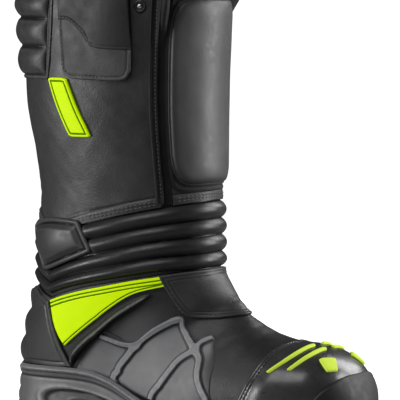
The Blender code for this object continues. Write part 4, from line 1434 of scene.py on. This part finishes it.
def lug(corners, low, high, verts, faces, taper=0.86):
    """A block with slanted sides from a plan polygon, its foot rounded in one step."""
    corners = np.array(corners, float)
    middle = corners.mean(0)
    first, count = len(verts), len(corners)
    for share, z in ((1.0, high), (0.95, low + 1.0), (taper, low)):
        for x, y in middle + (corners - middle) * share:
            verts.append((x, y, z + toe_spring(x)))
    faces += [face[::-1] for face in grid_faces(3, count, True, first)]
    faces.append([first + k for k in range(count)])
    faces.append([first + 2 * count + k for k in range(count - 1, -1, -1)])


def make_lugs():
    """Edge lugs except at the arch, slanted blocks inside them and bars across the arch."""
    verts, faces = [], []
    count, pitch, lean = 720, 17.5, 6
    rim, inner = outline(0.6, count), outline(-13.0, count)
    travel = np.concatenate([[0], np.cumsum(np.linalg.norm(np.diff(rim, axis=0), axis=1))])
    for k in range(int(travel[-1] / pitch)):
        a, b = (int(np.argmin(np.abs(travel - pitch * (k + f)))) for f in (0.14, 0.86))
        if -22 < rim[(a + b) // 2, 0] < 56:
            continue
        inside = [inner[(b + lean) % count], inner[(a + lean) % count]]
        lug([rim[a], rim[b], *inside], 0.0, LUG_DEPTH + 1, verts, faces)
    slant = 8
    for x in (-62, -40, 74, 94, 114, 134, 154):
        reach, middle = (17, 0) if x < 0 else (24, 3)
        for side in (-1, 1):
            y0, y1 = middle + side * 2.5, middle + side * reach
            shape = [(x - 7, y0), (x + 7, y0), (x + 7 - slant, y1), (x - 7 - slant, y1)]
            lug(shape[::side], 0.0, LUG_DEPTH + 1, verts, faces)
    for x in (-8, 4, 16, 28, 40):
        bar = [(x - 3, -24), (x + 3, -24), (x + 3, 26), (x - 3, 26)]
        lug(bar, LUG_DEPTH, LUG_DEPTH + 4, verts, faces)
    return mesh_object("tread_lugs", verts, faces, np.zeros(len(verts)), sharp=30)


# ---------------------------------------------------------------- hidden CAD pieces

def dress_hidden():
    """Materials for the CAD pieces inside the boot, whose shapes stay."""
    for node, finish in (("toe_cap", "steel"), ("shank", "steel"), ("puncture_plate", "plate"),
                         ("insole_board", "board"), ("heel_stiffener", "foam")):
        mesh = frame["nodes"][node]
        mesh.data.materials.clear()
        mesh.data.materials.append(MATERIALS[finish])


# ---------------------------------------------------------------- floor, light and camera

CAMERA_AZIMUTH, CAMERA_ELEVATION = 30.0, 4.0          # from the lateral side, and up, in degrees
CAMERA_DISTANCE, CAMERA_LENS = 2400.0, 278.0          # a long lens: nearly parallel rays
CAMERA_AIM = (46.4, 26.8, 188.0)
LAMP_DISTANCE = 1.6                                   # in metres


def towards(azimuth, elevation):
    """The unit vector from the boot to a lamp or the camera."""
    a, e = math.radians(azimuth), math.radians(elevation)
    return Vector((math.sin(a) * math.cos(e), -math.cos(a) * math.cos(e), math.sin(e)))


def make_stage():
    """A pale floor that curves up behind the boot; the camera sees it lit evenly."""
    half, back, radius, wall = 9.0, 3.0, 1.2, 6.0      # in metres
    a = math.radians(CAMERA_AZIMUTH)
    away = np.array([-math.sin(a), math.cos(a)])
    side = np.array([away[1], -away[0]])
    profile = [(-half, 0.0), (back, 0.0)]
    profile += [(back + radius * math.sin(k), radius * (1 - math.cos(k)))
                for k in np.radians(np.arange(10, 91, 10))]
    profile.append((back + radius, wall))
    verts = [(*(away * d + side * w), z) for d, z in profile for w in (-half, half)]
    faces = [(2 * k, 2 * k + 1, 2 * k + 3, 2 * k + 2) for k in range(len(profile) - 1)]
    mesh = bpy.data.meshes.new("floor")
    mesh.from_pydata(verts, [], faces)
    mesh.shade_smooth()
    floor = bpy.data.objects.new("floor", mesh)
    bpy.context.scene.collection.objects.link(floor)
    f = Finish("pale_floor")
    tone = f.mix(f.ramp(f.noise(300.0), 0.3, 0.7), (0.86, 0.86, 0.86), (0.88, 0.88, 0.88))
    seen = f.add("LightPath").outputs["Is Camera Ray"]
    flat = f.add("Mapping", _0=f.place, Scale=(1, 1, 0.3)).outputs[0]
    far = f.add("VectorMath", {"operation": "LENGTH"}, _0=flat).outputs["Value"]
    glow = f.math("MULTIPLY", seen, f.ramp(far, 0.25, 1.1, 0.75, 1.0))
    tone = f.mix(seen, grey(0.3), tone)
    mesh.materials.append(f.done(tone, 0.9, Emission_Color=(1, 1, 1, 1), Emission_Strength=glow))


def soft_light(name, azimuth, elevation, size, power):
    """A softbox of size (width, height) facing the boot's middle."""
    aim = Vector(place((40, 0, 170)))
    back = towards(azimuth, elevation)
    data = bpy.data.lights.new(name, "AREA")
    data.shape = "RECTANGLE"
    data.size, data.size_y = size
    data.energy = power
    lamp = bpy.data.objects.new(name, data)
    lamp.location = aim + back * LAMP_DISTANCE
    lamp.rotation_mode = "QUATERNION"
    lamp.rotation_quaternion = back.to_track_quat("Z", "Y")
    bpy.context.scene.collection.objects.link(lamp)


def make_light():
    world = bpy.data.worlds.new("studio")
    world.use_nodes = True
    background = world.node_tree.nodes["Background"]
    background.inputs["Color"].default_value = (1, 1, 1, 1)
    background.inputs["Strength"].default_value = 0.06
    bpy.context.scene.world = world
    soft_light("key_left", -45, 3, (0.6, 0.9), 17)
    soft_light("key_right", 126, 14, (0.6, 1.2), 19)
    soft_light("overhead", 0, 48, (1.2, 0.8), 9)
    soft_light("rim_right", 158, 30, (0.6, 0.8), 8)


def make_camera():
    back = towards(CAMERA_AZIMUTH, CAMERA_ELEVATION)
    data = bpy.data.cameras.new("camera")
    data.sensor_width = 36
    data.lens = CAMERA_LENS
    data.clip_end = 100
    camera = bpy.data.objects.new("camera", data)
    camera.location = place(np.array(CAMERA_AIM) + back * CAMERA_DISTANCE)
    camera.rotation_mode = "QUATERNION"
    camera.rotation_quaternion = back.to_track_quat("Z", "Y")
    bpy.context.scene.collection.objects.link(camera)
    bpy.context.scene.camera = camera
    bpy.context.scene.view_settings.view_transform = "Standard"


# ---------------------------------------------------------------- the boot

make_materials()
make_shaft_quarter()
make_front_panel()
make_gussets()
make_seam_strips()
make_shin_pad()
make_collar_pad()
make_collar_binding()
make_shaft_lining()
make_straps()
make_badges()
make_bellows()
make_protectors()
make_quarter()
make_vamp()
make_foot_lining()
make_footbed()
make_instep_panel()
make_heel_counter()
make_side_panels()
make_toe_cover()
make_bumper()
make_bars()
make_midsole()
make_outsole()
dress_hidden()
make_stage()
make_light()
make_camera()
